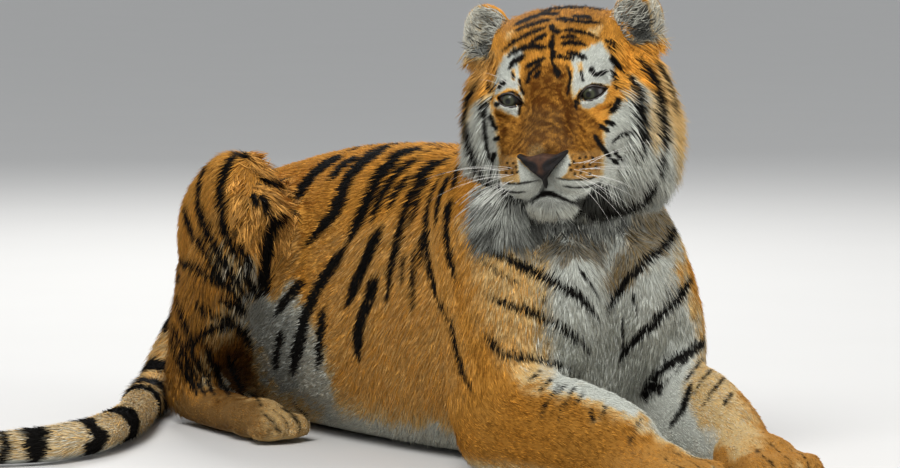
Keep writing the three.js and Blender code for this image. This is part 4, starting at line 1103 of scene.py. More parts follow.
def bodyTones(p, n, base, onTail):
    tone = np.concatenate([np.zeros((len(p), 1)), base], axis=1)
    patched = 0.35 * wobble(p, 0.030, 15)[:, None]
    # the inner sides of the forelegs and all that faces the ground are pale
    inner = smoothStep(0.1, 0.75, -np.sign(p[:, 0]) * n[:, 0])
    inner = inner * (p[:, 1] < -0.12) * (np.abs(p[:, 0]) > 0.05) * (p[:, 2] < 0.36)
    below = smoothStep(-0.3, -0.85, n[:, 2]) * smoothStep(0.26, 0.16, p[:, 2])
    tone[:, 1] = np.maximum(tone[:, 1], np.maximum(0.9 * inner, below))
    ragged = p + 0.010 * wobble(p, 0.05, 11)[:, None]
    tone[:, 1] = washed(ragged, tone[:, 1], bodyWashes["pale"])
    tone[:, 2] = washed(ragged, tone[:, 2], bodyWashes["rust"])
    for outline, colour, soft, both in bodyPatches:
        for side in (1, -1) if both else (1,):
            turned = ragged * (side, 1, 1)
            low, high = patchBoxes[id(outline)]
            near = np.flatnonzero(((turned > low) & (turned < high)).all(axis=1) & ~onTail)
            facing = (n[near] * (side, 1, 1)) @ cameraBack
            share = patchShare(pixelsOf(turned[near]), outline, soft)
            share = (share * smoothStep(-0.48, -0.12, facing))[:, None]
            share = np.clip(share + patched[near] * share * (1 - share) * 4, 0, 1)
            if side < 0:
                share *= smoothStep(0.24, 0.16, p[near, 2])[:, None]
            tone[near] += (np.array(colour) - tone[near]) * share
    along, soft, band = alongTail(ragged), tail["soft"], np.zeros(len(p))
    for start, end in tail["bands"]:
        within = smoothStep(start - soft, start + soft, along) * smoothStep(end + soft, end - soft, along)
        band = np.maximum(band, within)
    tone[:, 0] = np.where(onTail, np.maximum(tone[:, 0], band), tone[:, 0])
    return tone


def headTones(p):
    tone = np.zeros((len(p), 3))
    q = toHead(p)
    q = q + 0.003 * wobble(q, 0.02, 12)[:, None]
    tone[:, 1] = washed(q, tone[:, 1], headWashes["pale"])
    across, high, deep = np.abs(q[:, 0]), q[:, 1], q[:, 2]
    nape = smoothStep(-0.125, -0.170, deep) * smoothStep(-0.16, -0.12, high)
    tone[:, 1] *= 1 - nape * (across < 0.2) * (high < 0.07)
    tone[:, 2] = washed(q, tone[:, 2], headWashes["rust"])
    tone[:, 0] = washed(q, tone[:, 0], headWashes["black"])
    onEar = smoothStep(0.07, 0.085, high) * smoothStep(0.07, 0.08, across)
    seen = smoothStep(-0.16, -0.12, deep) * (1 - onEar)
    pixels = pixelsOf(p) + 0.8 * wobble(p, 0.012, 13)[:, None]
    for outline, colour, soft in headPatches:
        share = patchShare(pixels, outline, soft) * seen
        tone += (np.array(colour) - tone) * share[:, None]
    inEar = smoothStep(-0.146, -0.134, deep) * smoothStep(0.060, 0.074, high)
    inEar = inEar * smoothStep(0.066, 0.078, across)
    for outline, colour, soft in earPatches:
        share = patchShare(pixels, outline, soft) * inEar
        tone += (np.array(colour) - tone) * share[:, None]
    tone[:, 2] = np.clip(tone[:, 2] * (1 + 0.40 * wobble(q, 0.016, 16)), 0, 1)
    front = smoothStep(-0.10, -0.08, deep)
    lines = np.maximum(flatShare(p, flatStrokes), 0.95 * spotShare(p)) * front
    tone[:, 0] = np.maximum(tone[:, 0], lines)
    return tone


def marksOf(points, normals, onHead, base, onTail):
    # black, pale and rust of each point, from 0 to 1
    tone = np.zeros((len(points), 3))
    q = toHead(points)
    onHead = onHead | ((q[:, 2] > -0.08) & (q[:, 1] > -0.17) & (np.abs(q[:, 0]) < 0.12))
    body = ~onHead
    tone[body] = bodyTones(points[body], normals[body], base[body], onTail[body])
    tone[onHead] = headTones(points[onHead])
    stripe = strokeShare(points, drawnStrokes)
    tone[:, 0] = np.maximum(tone[:, 0], stripe)
    return tone


def patchBox(outline):
    spots = laid(finer(outline + outline[:1], 20))
    return np.quantile(spots, 0.04, axis=0) - 0.06, np.quantile(spots, 0.96, axis=0) + 0.06


patchBoxes = {id(patch[0]): patchBox(patch[0]) for patch in bodyPatches}
drawnStrokes = allStrokes()
print("strokes:", len(drawnStrokes))


class Link:
    # a socket that takes part in sums
    def __init__(self, tree, socket):
        self.tree, self.socket = tree, socket

    def math(self, operation, other, turned=False):
        a, b = (other, self) if turned else (self, other)
        return self.tree.node("ShaderNodeMath", {"operation": operation}, {0: a, 1: b})

    def __add__(self, other):
        return self.math("ADD", other)

    def __sub__(self, other):
        return self.math("SUBTRACT", other)

    def __rsub__(self, other):
        return self.math("SUBTRACT", other, True)

    def __mul__(self, other):
        return self.math("MULTIPLY", other)

    __radd__, __rmul__ = __add__, __mul__


class Finish:
    # a material and its nodes
    def __init__(self, name):
        self.material = bpy.data.materials.new(name)
        self.material.use_nodes = True
        self.nodes = self.material.node_tree.nodes
        self.shader = self.nodes["Principled BSDF"]

    def plug(self, socket, value):
        if isinstance(value, Link):
            self.material.node_tree.links.new(value.socket, socket)
        else:
            socket.default_value = value

    def node(self, kind, settings=None, sockets=None, output=0):
        made = self.nodes.new(kind)
        for name, value in (settings or {}).items():
            if name == "stops":
                ramp = made.color_ramp
                while len(ramp.elements) < len(value):
                    ramp.elements.new(0.5)
                for element, (place, colour) in zip(ramp.elements, value):
                    element.position, element.color = place, colour
            else:
                setattr(made, name, value)
        for name, value in (sockets or {}).items():
            self.plug(made.inputs[name], value)
        return Link(self, made.outputs[output])

    def blend(self, share, low, high, kind="MIX"):
        settings = {"data_type": "RGBA", "clamp_factor": True, "blend_type": kind}
        return self.node("ShaderNodeMix", settings, {0: share, 6: low, 7: high}, 2)

    def grey(self, value):
        return self.node("ShaderNodeCombineColor", None, {0: value, 1: value, 2: value})

    def place(self):
        return self.node("ShaderNodeTexCoord", output=3)  # Object coordinates

    def noise(self, scale, detail=2.0, rough=0.5):
        sockets = {"Vector": self.place(), "Scale": scale, "Detail": detail, "Roughness": rough}
        return self.node("ShaderNodeTexNoise", None, sockets)

    def ramp(self, share, stops):
        return self.node("ShaderNodeValToRGB", {"stops": stops}, {0: share})

    def reading(self, name, output=2):
        return self.node("ShaderNodeAttribute", {"attribute_name": name}, None, output)

    def bump(self, height, strength, distance):
        return self.node("ShaderNodeBump", None,
                         {"Height": height, "Strength": strength, "Distance": distance})

    def set(self, **values):
        for name, value in values.items():
            self.plug(self.shader.inputs[name.replace("_", " ")], value)
        return self.material


furTones = {
    "orange": (0.75, 0.295, 0.026, 1), "orangeLight": (0.84, 0.420, 0.082, 1),
    "rust": (0.130, 0.042, 0.004, 1), "cream": (0.80, 0.56, 0.245, 1),
    "pale": (0.85, 0.87, 0.78, 1), "paleShade": (0.50, 0.51, 0.44, 1),
    "black": (0.008, 0.007, 0.006, 1), "rootShade": 0.43, "roughness": 0.75, "specular": 0.05,
}


def furFinish(name, tufted):
    fur = Finish(name)
    parts = fur.node("ShaderNodeSeparateColor", None, {0: fur.reading("marks", 0)})
    stripe, pale, rust = (Link(fur, parts.socket.node.outputs[n]) for n in range(3))
    patches, strands = fur.noise(14.0, 3.0), fur.noise(420.0, 2.0)
    warm = fur.blend(patches, furTones["orange"], furTones["orangeLight"])
    warm = fur.blend(rust, warm, furTones["rust"])
    light = fur.blend(strands * 0.9, furTones["pale"], furTones["paleShade"])
    warm = fur.blend(pale * 2.0, warm, furTones["cream"])
    coat = fur.blend(stripe, fur.blend(pale * 2.0 - 1.0, warm, light), furTones["black"])
    shade = 0.78 + strands * 0.44
    if tufted:
        # painted shade: each tuft darker towards its root, where the coat is deep
        shade = shade * (furTones["rootShade"] + fur.reading("grown") * (1.05 - furTones["rootShade"]))
        shade = shade * (0.68 + fur.reading("tint") * 0.64)
    else:
        # painted shade: the skin under the coat darkened by half, as the shade between the tufts
        shade = shade * 0.5
    tinted = fur.blend(1.0, coat, fur.grey(shade), "MULTIPLY")
    return fur.set(Base_Color=tinted, Roughness=furTones["roughness"],
                   Specular_IOR_Level=furTones["specular"])


furOnSkin = furFinish("fur_on_skin", False)
furTuft = furFinish("fur_tuft", True)


def headCoat(q):
    # lie, length and lift of the hair on the head, by place in its own frame
    sign = np.where(q[:, 0] >= 0, 1.0, -1.0)[:, None]
    side = np.abs(q[:, 0])[:, None]
    v, w = q[:, 1:2], q[:, 2:3]
    away, up = np.array([1.0, 0, 0]) * sign, np.array([0, 1.0, 0])
    down, back = np.array([0, -1.0, 0]), np.array([0, 0, -1.0])
    lie = 0.75 * up + 0.6 * back + 0.25 * away * smoothStep(0.01, 0.06, side)
    toCheek = smoothStep(0.040, 0.085, side) * smoothStep(0.05, -0.02, v)
    lie = lie * (1 - toCheek) + toCheek * (0.55 * away + 0.70 * down + 0.45 * back)
    toPad = smoothStep(-0.075, -0.1, v) * smoothStep(-0.02, 0.03, w)
    lie = lie * (1 - toPad) + toPad * (0.85 * away + 0.35 * down + 0.35 * back)
    toChin = smoothStep(-0.140, -0.155, v)
    lie = lie * (1 - toChin) + toChin * (0.3 * away + 0.8 * down + 0.4 * back)
    toBack = smoothStep(-0.10, -0.16, w)
    lie = lie * (1 - toBack) + toBack * (0.25 * away + 0.5 * down + 0.7 * back)
    across, high, deep = np.abs(q[:, 0]), q[:, 1], q[:, 2]
    long = 0.0055 + 0.004 * smoothStep(0.0, 0.06, high)
    long += 0.007 * smoothStep(0.065, 0.11, across) * smoothStep(0.09, 0.04, high)
    long += 0.013 * smoothStep(-0.146, -0.168, high) + 0.014 * smoothStep(-0.06, -0.14, deep)
    long -= 0.0018 * smoothStep(0.0, 0.03, deep) * smoothStep(-0.150, -0.13, high)
    lift = 10 + 4 * smoothStep(0.08, 0.12, across) + 8 * smoothStep(-0.145, -0.165, high)
    lift = np.radians(lift + 5 * smoothStep(0.01, 0.04, deep))
    ear = smoothStep(0.072, 0.095, high) * smoothStep(0.072, 0.085, across)
    tip = 0.45 * away + 0.85 * up - 0.1 * back
    lie = lie * (1 - ear[:, None]) + ear[:, None] * tip
    long, lift = long + ear * (0.0085 - long), lift + ear * (math.radians(10) - lift)
    return unit(lie), long, lift


bodyLie, bodyLong, bodyLift = bodyValues[:, :3], bodyValues[:, 3], np.radians(bodyValues[:, 5])
headLie, headLong, headLift = headCoat(headPoints)
coatLie = unit(np.concatenate([bodyLie, headLie @ headAxes]))
coatLong = np.concatenate([bodyLong, headLong])
coatLift = np.concatenate([bodyLift, headLift])
toneOfNode = np.array([nodeTone.get(name, (0.0, 0.0)) for name in bodyNames])
coatBase = np.concatenate([blur(toneOfNode[bodyNear], bodyEdges, 14), np.zeros((len(headPoints), 2))])
onTailCorner = np.concatenate([np.isin(bodyNear, [bodyNames.index(n) for n in tailNodes]),
                               np.zeros(len(headPoints), bool)])

coatMake = {
    "bodyTufts": 206000, "headTufts": 80000, "seed": 4, "bodyWide": 0.0025, "headWide": 0.0015,
    "usual": 0.028, "shortest": 0.008, "ground": 0.0006, "patch": 0.003, "limit": 199000,
    "combed": 0.10, "swirl": 0.17, "read": 0.62,
}
spikeFaces = np.array([(0, 2, 3), (2, 1, 3), (1, 0, 3), (0, 1, 2)])
bentFaces = np.array([
    (0, 2, 5), (0, 5, 3), (2, 1, 4), (2, 4, 5), (1, 0, 3), (1, 3, 4), (3, 5, 6), (5, 4, 6), (4, 3, 6),
    (0, 1, 2),
])
spikePatch = ((-0.5, -0.5), (0.5, -0.5), (0, -0.2), (0, 0.5))
bentPatch = ((-0.5, -0.5), (0.5, -0.5), (0, -0.4), (-0.4, 0.1), (0.4, 0.1), (0, 0.15), (0, 0.5))


def scattered(faceShare, count, rng):
    # roots spread over the skin: face, place in it and the shares of its corners
    chance = faceShare / faceShare.sum() * count
    number = np.floor(chance + rng.uniform(size=len(chance))).astype(int)
    face = np.repeat(np.arange(len(chance)), number)
    a, b = rng.uniform(size=(2, len(face)))
    over = a + b > 1
    a, b = np.where(over, 1 - a, a), np.where(over, 1 - b, b)
    return face, np.stack([1 - a - b, a, b], axis=1)


def atRoots(values, face, share):
    corners = skinFaces[face]
    picked = values[corners]
    return (picked * share.reshape(share.shape + (1,) * (picked.ndim - 2))).sum(axis=1)


def rooted(weight, count, rng):
    # roots of tufts: face, shares of its corners, place, normal and place on the unwrap
    face, share = scattered(weight, count, rng)
    uv = (faceUV[face] * share[:, :, None]).sum(axis=1)
    return face, share, atRoots(skinPoints, face, share), unit(atRoots(skinNormals, face, share)), uv


def tuftRings(root, normal, lie, long, wide, lift, bend=None):
    # corners of closed tapered tufts: straight ones of four, or bent ones of seven
    along = unit(lie - (lie * normal).sum(axis=1, keepdims=True) * normal)
    side = np.cross(along, normal)
    half, thick = wide[:, None] / 2, 0.3 * wide[:, None]
    long = long[:, None]
    start = root - normal * np.minimum(0.0012, 0.10 * long) - along * 0.12 * long
    ahead = along * np.cos(lift)[:, None] + normal * np.sin(lift)[:, None]
    ring = [start - side * half, start + side * half, start + normal * thick]
    if bend is None:
        return np.stack(ring + [start + ahead * 1.12 * long], axis=1)
    middle = start + ahead * 0.5 * long
    second = unit(ahead + bend)
    ring += [middle - side * half * 0.85, middle + side * half * 0.85, middle + normal * thick]
    return np.stack(ring + [middle + second * 0.55 * long], axis=1)


def tuftMesh(name, points, marks, uv):
    count, size = points.shape[:2]
    bent = size > 4
    faces = bentFaces if bent else spikeFaces
    grown = (0, 0, 0, 0.5, 0.5, 0.5, 1) if bent else (0, 0, 0, 1)
    flat = points.reshape(-1, 3)
    flat[:, 2] = np.maximum(flat[:, 2], coatMake["ground"])
    every = (faces[None] + size * np.arange(count)[:, None, None]).reshape(-1, 3)
    mesh = meshOf(name, flat, every)
    colours = np.ones((count * size, 4), np.float32)
    colours[:, :3] = np.repeat(marks, size, axis=0)
    keep(mesh, "marks", "FLOAT_COLOR", colours)
    keep(mesh, "grown", "FLOAT", np.tile(grown, count))
    each = np.random.default_rng(count).uniform(-0.5, 0.5, count) + 0.30 * wobble(points[:, 0], 0.020, 41)
    each *= 1 - 0.4 * marks[:, 1]
    keep(mesh, "tint", "FLOAT", np.repeat(np.clip(0.5 + each, 0, 1), size))
    patch = uv[:, None] + coatMake["patch"] * np.array(bentPatch if bent else spikePatch)[None]
    layer = mesh.uv_layers.new(name="OFBake")
    layer.data.foreach_set("uv", patch.reshape(-1, 2)[every.ravel()].astype(np.float32).ravel())
    return mesh


def tuftPieces(name, points, marks, uv, order):
    # the tufts as pieces of less than a limit of faces each
    faces = len(points) * (10 if points.shape[1] > 4 else 4)
    parts = np.array_split(np.argsort(order, kind="stable"), math.ceil(faces / coatMake["limit"]))
    for n, part in enumerate(parts):
        label = f"{name}_{n + 1}" if len(parts) > 1 else name
        piece = objectOf(label, tuftMesh(label, points[part], marks[part], uv[part]), furTuft)
        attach(piece, "root")
        print(label, "of", len(piece.data.polygons), "faces")


def skinUV():
    # an unwrap of the skin's own shape, read back as one place for each corner
    bpy.context.view_layer.objects.active = skin
    skin.select_set(True)
    bpy.ops.object.mode_set(mode="EDIT")
    bpy.ops.mesh.select_all(action="SELECT")
    bpy.ops.uv.smart_project(angle_limit=math.radians(66), island_margin=0.002)
    bpy.ops.object.mode_set(mode="OBJECT")
    layer = skin.data.uv_layers.active
    layer.name = "OFBake"
    uv = np.zeros(len(skin.data.loops) * 2, np.float32)
    layer.data.foreach_get("uv", uv)
    return uv.reshape(-1, 3, 2)


skinMesh = meshOf("skin", skinPoints, skinFaces)
onHeadCorner = np.arange(len(skinPoints)) >= headStart
skinColours = np.ones((len(skinPoints), 4), np.float32)
skinColours[:, :3] = marksOf(skinPoints, skinNormals, onHeadCorner, coatBase, onTailCorner)
keep(skinMesh, "marks", "FLOAT_COLOR", skinColours)
skin = objectOf("skin", skinMesh, furOnSkin)
faceUV = skinUV()
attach(skin, "root")
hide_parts(*coats, "lower_jaw", "right_ear", "left_ear")
print("skin marked and unwrapped")

faceMiddle = skinPoints[skinFaces].mean(axis=1)
faceArea = np.linalg.norm(np.cross(
    skinPoints[skinFaces[:, 1]] - skinPoints[skinFaces[:, 0]],
    skinPoints[skinFaces[:, 2]] - skinPoints[skinFaces[:, 0]],
), axis=1) / 2
onHeadFace = np.arange(len(skinFaces)) >= len(bodyFaces)
faceHead = toHead(faceMiddle)


def shownFaces():
    # faces that another part of the skin doesn't hide, nor the ground
    hiddenBody = headField(toHead(skinPoints[:headStart])) < -0.004
    hiddenHead = hiddenUnder(skinPoints[headStart:], treeOf(bodyPoints, bodyFaces), 0.004)
    hidden = np.concatenate([hiddenBody, hiddenHead])
    under = (skinNormals[skinFaces][:, :, 2].mean(axis=1) < -0.75) & (faceMiddle[:, 2] < 0.02)
    inFace = np.zeros(len(skinFaces), bool)
    inFace[:len(bodyFaces)] = (bodyNear[bodyFaces] == bodyNames.index("head")).all(axis=1)
    inFace &= faceHead[:, 2] > -0.10
    return ~hidden[skinFaces].all(axis=1) & ~under & ~inFace


def eyeClear():
    # no hair on the eyes' openings and on the nose leather
    clear = np.ones(len(skinFaces), bool)
    for sign in (1, -1):
        eye = faceHead - np.array((sign * eyeSize["aside"], 0, 0))
        along, up = sign * eye[:, 0], eye[:, 1]
        opening = (up < lidHeight("upper", along) + 0.003) & (up > lidHeight("lower", along) - 0.002)
        between = (along > lidEnds[0] - 0.002) & (along < lidEnds[1] + 0.001)
        clear &= ~(opening & between & (faceHead[:, 2] > -0.03))
    return clear & (noseField(faceHead) > 0.0005)


noseMake = {
    "middle": (-0.0045, -0.095, 0.074), "half": (0.050, 0.040, 0.030), "step": 0.0012,
    "edge": (
        (-0.075, 0.0405), (-0.083, 0.0375), (-0.091, 0.0295), (-0.099, 0.0205), (-0.107, 0.0115),
        (-0.113, 0.0050), (-0.118, 0.0010),
    ),
    "nostril": (
        (0.013, -0.099, 0.106), (0.021, -0.096, 0.100), (0.031, -0.088, 0.090), (0.039, -0.081, 0.078),
    ),
    "nostrilHalf": (0.0052, 0.0056, 0.0046, 0.0026),
    "cleft": ((0, -0.092, 0.108), (0, -0.108, 0.1035), (0, -0.126, 0.098)),
    "cleftHalf": (0.0012, 0.0016, 0.002),
}


def noseField(q):
    q = np.array(q, float)
    q[:, 0] += muzzleShift["by"]
    side = np.abs(q[:, 0])
    egg = eggField(q, (0, *noseMake["middle"][1:]), noseMake["half"])
    edge = np.array(noseMake["edge"])[::-1]
    width = np.interp(q[:, 1], edge[:, 0], edge[:, 1])
    field = smoothMax(egg, (side - width) * 0.75, 0.006)
    top = -0.0795 - 0.003 * smoothStep(0.0, 0.02, side) + 0.006 * smoothStep(0.02, 0.04, side)
    field = smoothMax(field, q[:, 1] - top, 0.005)
    folded = np.stack([side, q[:, 1], q[:, 2]], axis=1)
    carve(field, folded, noseMake["nostril"], noseMake["nostrilHalf"], 0.003)
    carve(field, folded, noseMake["cleft"], noseMake["cleftHalf"], 0.003)
    return field


def growCoat():
    rng = np.random.default_rng(coatMake["seed"])
    shown = shownFaces() & eyeClear()
    fineness = (coatMake["usual"] / np.maximum(coatLong, coatMake["shortest"]))[skinFaces].mean(axis=1)
    names = np.array(bodyNames)
    region = {"trunk": ("chest", "loins", "rump", "neck", "head"), "tail": tailNodes}
    nodeOf = bodyNear[bodyFaces].min(axis=1)
    isTail = np.isin(nodeOf, np.flatnonzero(np.isin(names, region["tail"])))
    isTrunk = np.isin(nodeOf, np.flatnonzero(np.isin(names, region["trunk"])))
    front = faceMiddle[:len(bodyFaces), 1] < 0.3
    pads = np.zeros(len(headFaces), bool)
    masks = {
        "coat_trunk": np.concatenate([isTrunk, pads]), "coat_tail": np.concatenate([isTail, pads]),
        "coat_forelegs": np.concatenate([~isTrunk & ~isTail & front, pads]),
        "coat_hind_legs": np.concatenate([~isTrunk & ~isTail & ~front, pads]), "coat_head": onHeadFace,
    }
    bodyShare = (faceArea * shown * ~onHeadFace * fineness).sum()
    for name, mask in masks.items():
        weight = faceArea * mask * shown * fineness
        atHead = name == "coat_head"
        number = coatMake["headTufts"] if atHead else coatMake["bodyTufts"] * weight.sum() / bodyShare
        face, share, root, normal, uv = rooted(weight, number, rng)
        swirl = np.stack([wobble(root, 0.045, s) for s in (21, 22, 23)], axis=1)
        lie = atRoots(coatLie, face, share) + coatMake["combed"] * rng.normal(size=root.shape)
        lie = lie + coatMake["swirl"] * swirl
        long = atRoots(coatLong, face, share) * rng.uniform(0.75, 1.25, len(root))
        wide = coatMake["headWide" if atHead else "bodyWide"] * rng.uniform(0.8, 1.2, len(root))
        wide = wide * np.clip(long / (0.009 if atHead else 0.019), 0.5, 1.5) ** 0.6
        stray = 1 + 0.3 * rng.normal(size=len(root)) + 0.45 * wobble(root, 0.022, 24)
        lift = atRoots(coatLift, face, share) * stray
        points = tuftRings(root, normal, lie, long, wide, lift)
        flags = np.full(len(root), atHead), atRoots(coatBase, face, share), onTailCorner[skinFaces[face, 0]]
        seen = root + (points[:, 3] - root) * coatMake["read"]
        marks = marksOf(seen, normal, *flags)
        marks[:, 1:] += 2.4 * marks[:, 1:] * (1 - marks[:, 1:]) * rng.uniform(-0.5, 0.5, (len(root), 1))
        marks = np.clip(marks, 0, 1)
        tuftPieces(name, points, marks, uv,
                   root[:, 1])


def ruffLie(q):
    # the ruff hangs down and out, and back a little
    sign = np.where(q[:, 0] >= 0, 1.0, -1.0)
    side = smoothStep(0.02, 0.12, np.abs(q[:, 0]))
    low = smoothStep(-0.02, -0.14, q[:, 1])
    return unit(np.stack([sign * (0.20 + 0.42 * side - 0.20 * low), -0.70 - 0.25 * low, -0.30 + 0.10 * low],
                         axis=1))


ruffMake = {"count": 31000, "wide": 0.0025, "long": 0.046, "lift": 17, "seed": 12}


def growRuff():
    rng = np.random.default_rng(ruffMake["seed"])
    q = faceHead
    across, high, deep = np.abs(q[:, 0]), q[:, 1], q[:, 2]
    cheek = smoothStep(0.084, 0.104, across) * smoothStep(0.09, 0.045, high)
    cheek = cheek * smoothStep(-0.19, -0.16, deep) * smoothStep(-0.015, -0.045, deep)
    throat = smoothStep(-0.135, -0.155, high) * smoothStep(0.015, -0.02, deep)
    throat = throat * smoothStep(-0.2, -0.16, deep)
    bib = smoothStep(0.138, 0.108, across) * smoothStep(-0.215, -0.180, high)
    bib = bib * smoothStep(-0.05, -0.09, high) * smoothStep(-0.16, -0.13, deep)
    bib[:len(bodyFaces)] *= (bodyNear[bodyFaces] != bodyNames.index("head")).all(axis=1)
    weight = np.where(onHeadFace, np.maximum(cheek, throat), 0.75 * bib) * faceArea * shownFaces()
    _, _, root, normal, uv = rooted(weight, ruffMake["count"], rng)
    local = toHead(root)
    swirl = np.stack([wobble(root, 0.05, s) for s in (25, 26, 27)], axis=1)
    lie = ruffLie(local) @ headAxes + 0.055 * rng.normal(size=root.shape) + 0.10 * swirl
    low = smoothStep(0.05, -0.12, local[:, 1])
    beard = smoothStep(-0.13, -0.16, local[:, 1])
    long = ruffMake["long"] * (0.86 + 0.12 * low + 0.06 * beard) * rng.uniform(0.65, 1.1, len(root))
    wide = ruffMake["wide"] * rng.uniform(0.6, 1.25, len(root))
    lift = np.radians(ruffMake["lift"]) * rng.uniform(0.3, 1.3, len(root))
    lift = lift * (1 + 0.9 * smoothStep(0.115, 0.15, np.abs(local[:, 0])))
    bend = np.array([0, 0, -0.30]) + 0.08 * rng.normal(size=root.shape)
    points = tuftRings(root, normal, lie, long, wide, lift, bend)
    seen = points[:, 5]
    tones = headTones(seen)
    lines = flatShare(seen, ("cheek", "cheekBand", "cheekThin"), 1.2)
    lines = lines * smoothStep(-0.16, -0.12, toHead(seen)[:, 2])
    # the ruff greys downwards, grey hair
    grey = smoothStep(-0.06, -0.17, local[:, 1]) * np.clip(0.42 + 0.28 * wobble(seen, 0.035, 14), 0, 1)
    # painted shade: the ruff's lower edge darker still, under the head
    grey = np.minimum(grey + 0.36 * smoothStep(-0.165, -0.215, toHead(seen)[:, 1]), 0.85)
    tones[:, 0] = np.maximum(tones[:, 0], np.maximum(lines, grey))
    tuftPieces("coat_ruff", points, tones, uv, local[:, 0])


kneeMake = {
    "outline": [(243, 153), (262, 151), (288, 178), (296, 214), (284, 246), (262, 262), (246, 250),
                (236, 224), (233, 190)],
    "whorl": (246, 166), "about": (55, 75), "fall": 0.55, "locks": 120, "perLock": 22, "long": 0.034,
    "wide": 0.0025, "spread": 0.0062, "seed": 31,
}
earHair = {"count": 850, "long": 0.022, "wide": 0.0019, "seed": 33}


def growKnee():
    # shaggy locks on the raised knee, each a bunch of tufts that meet at its tip
    rng = np.random.default_rng(kneeMake["seed"])
    onLeg = (faceMiddle[:, 0] < -0.12) & (faceMiddle[:, 1] > 0.25) & (faceMiddle[:, 2] > 0.2)
    inside = patchShare(pixelsOf(faceMiddle), kneeMake["outline"], 4.0) * onLeg * shownFaces()
    lockFace, lockShare = scattered(inside * faceArea, kneeMake["locks"], rng)
    lockRoot = atRoots(skinPoints, lockFace, lockShare)
    pixels = pixelsOf(lockRoot)
    out = (pixels - kneeMake["whorl"]) / kneeMake["about"] + (0.0, kneeMake["fall"])
    lie = unit(out[:, :1] * cameraRight - out[:, 1:] * cameraUp + 0.25 * rng.normal(size=lockRoot.shape))
    count = kneeMake["perLock"]
    reach = kneeMake["long"] * rng.uniform(0.6, 1.25, len(lockRoot))
    lean = np.radians(rng.uniform(12, 34, len(lockRoot)))
    offset = kneeMake["spread"] * rng.normal(size=(len(lockRoot), count, 3))
    roots = (lockRoot[:, None] + offset).reshape(-1, 3)
    spots = [skinTree.find_nearest(point) for point in roots.tolist()]
    root, normal = np.array([spot[0] for spot in spots]), np.array([spot[1] for spot in spots])
    own = np.repeat(np.arange(len(lockRoot)), count)
    gather = -(root - lockRoot[own]) / reach[own, None]
    wide = kneeMake["wide"] * rng.uniform(0.6, 1.2, len(root))
    long = reach[own] * rng.uniform(0.75, 1.1, len(root))
    points = tuftRings(root, normal, lie[own] + 0.5 * gather, long, wide, lean[own],
                       0.8 * gather + np.array([0, 0, -0.15]))
    face = np.array([spot[2] for spot in spots])
    seen = points[:, 5]
    marks = marksOf(seen, normal, np.zeros(len(root), bool), np.full((len(root), 2), (0.10, 0.0)),
                    np.zeros(len(root), bool))
    chance = rng.uniform(size=len(lockRoot))[own]
    marks[:, 0] = np.maximum(marks[:, 0], 0.85 * (chance < 0.06))
    marks[:, 2] = np.maximum(marks[:, 2], 0.5 * (chance > 0.75))
    tuftPieces("coat_knee", points, marks, faceUV[face].mean(axis=1), root[:, 2])


def growEarHair():
    rng = np.random.default_rng(earHair["seed"])
    every = []
    for sign in (1, -1):
        cup = np.array(earForm["cup"][0]) * (sign, 1, 1)
        q = faceHead - cup
        weight = faceArea * onHeadFace * (np.linalg.norm(q / (0.040, 0.046, 0.030), axis=1) < 1)
        inner = smoothStep(0.012, -0.022, sign * q[:, 0]) + 0.35 * smoothStep(-0.01, -0.03, q[:, 1]) + 0.12
        _, _, root, normal, uv = rooted(weight * inner, earHair["count"], rng)
        fan = np.stack([sign * rng.uniform(0.5, 1.0, len(root)), rng.uniform(-0.1, 0.9, len(root)),
                        np.full(len(root), 0.35)], axis=1)
        lie = unit(fan) @ headAxes
        long = earHair["long"] * rng.uniform(0.5, 1.2, len(root))
        lift = np.radians(rng.uniform(8, 38, len(root)))
        wide = earHair["wide"] * rng.uniform(0.6, 1.2, len(root))
        bend = (np.array([0.0, -0.1, -0.25]) @ headAxes) + 0.1 * rng.normal(size=root.shape)
        points = tuftRings(root, normal, lie, long, wide, lift, bend)
        local = toHead(root) - cup
        # hair low in the ear's cup darker: painted shade deep in the ear; a few dark hairs at random
        dark = smoothStep(0.012, -0.012, local[:, 1] + 0.010 * rng.normal(size=len(root)) + 0.008)
        dark = np.maximum(dark * 0.9, (rng.uniform(size=len(root)) < 0.12) * 0.8)
        marks = np.stack([np.maximum(dark, 0.22), np.full(len(root), 0.95), np.zeros(len(root))], axis=1)
        every.append((points, marks, uv))
    points, marks, uv = (np.concatenate(parts) for parts in zip(*every))
    tuftPieces("coat_ears", points, marks, uv, uv[:, 0])


growCoat()
growRuff()
growKnee()
growEarHair()


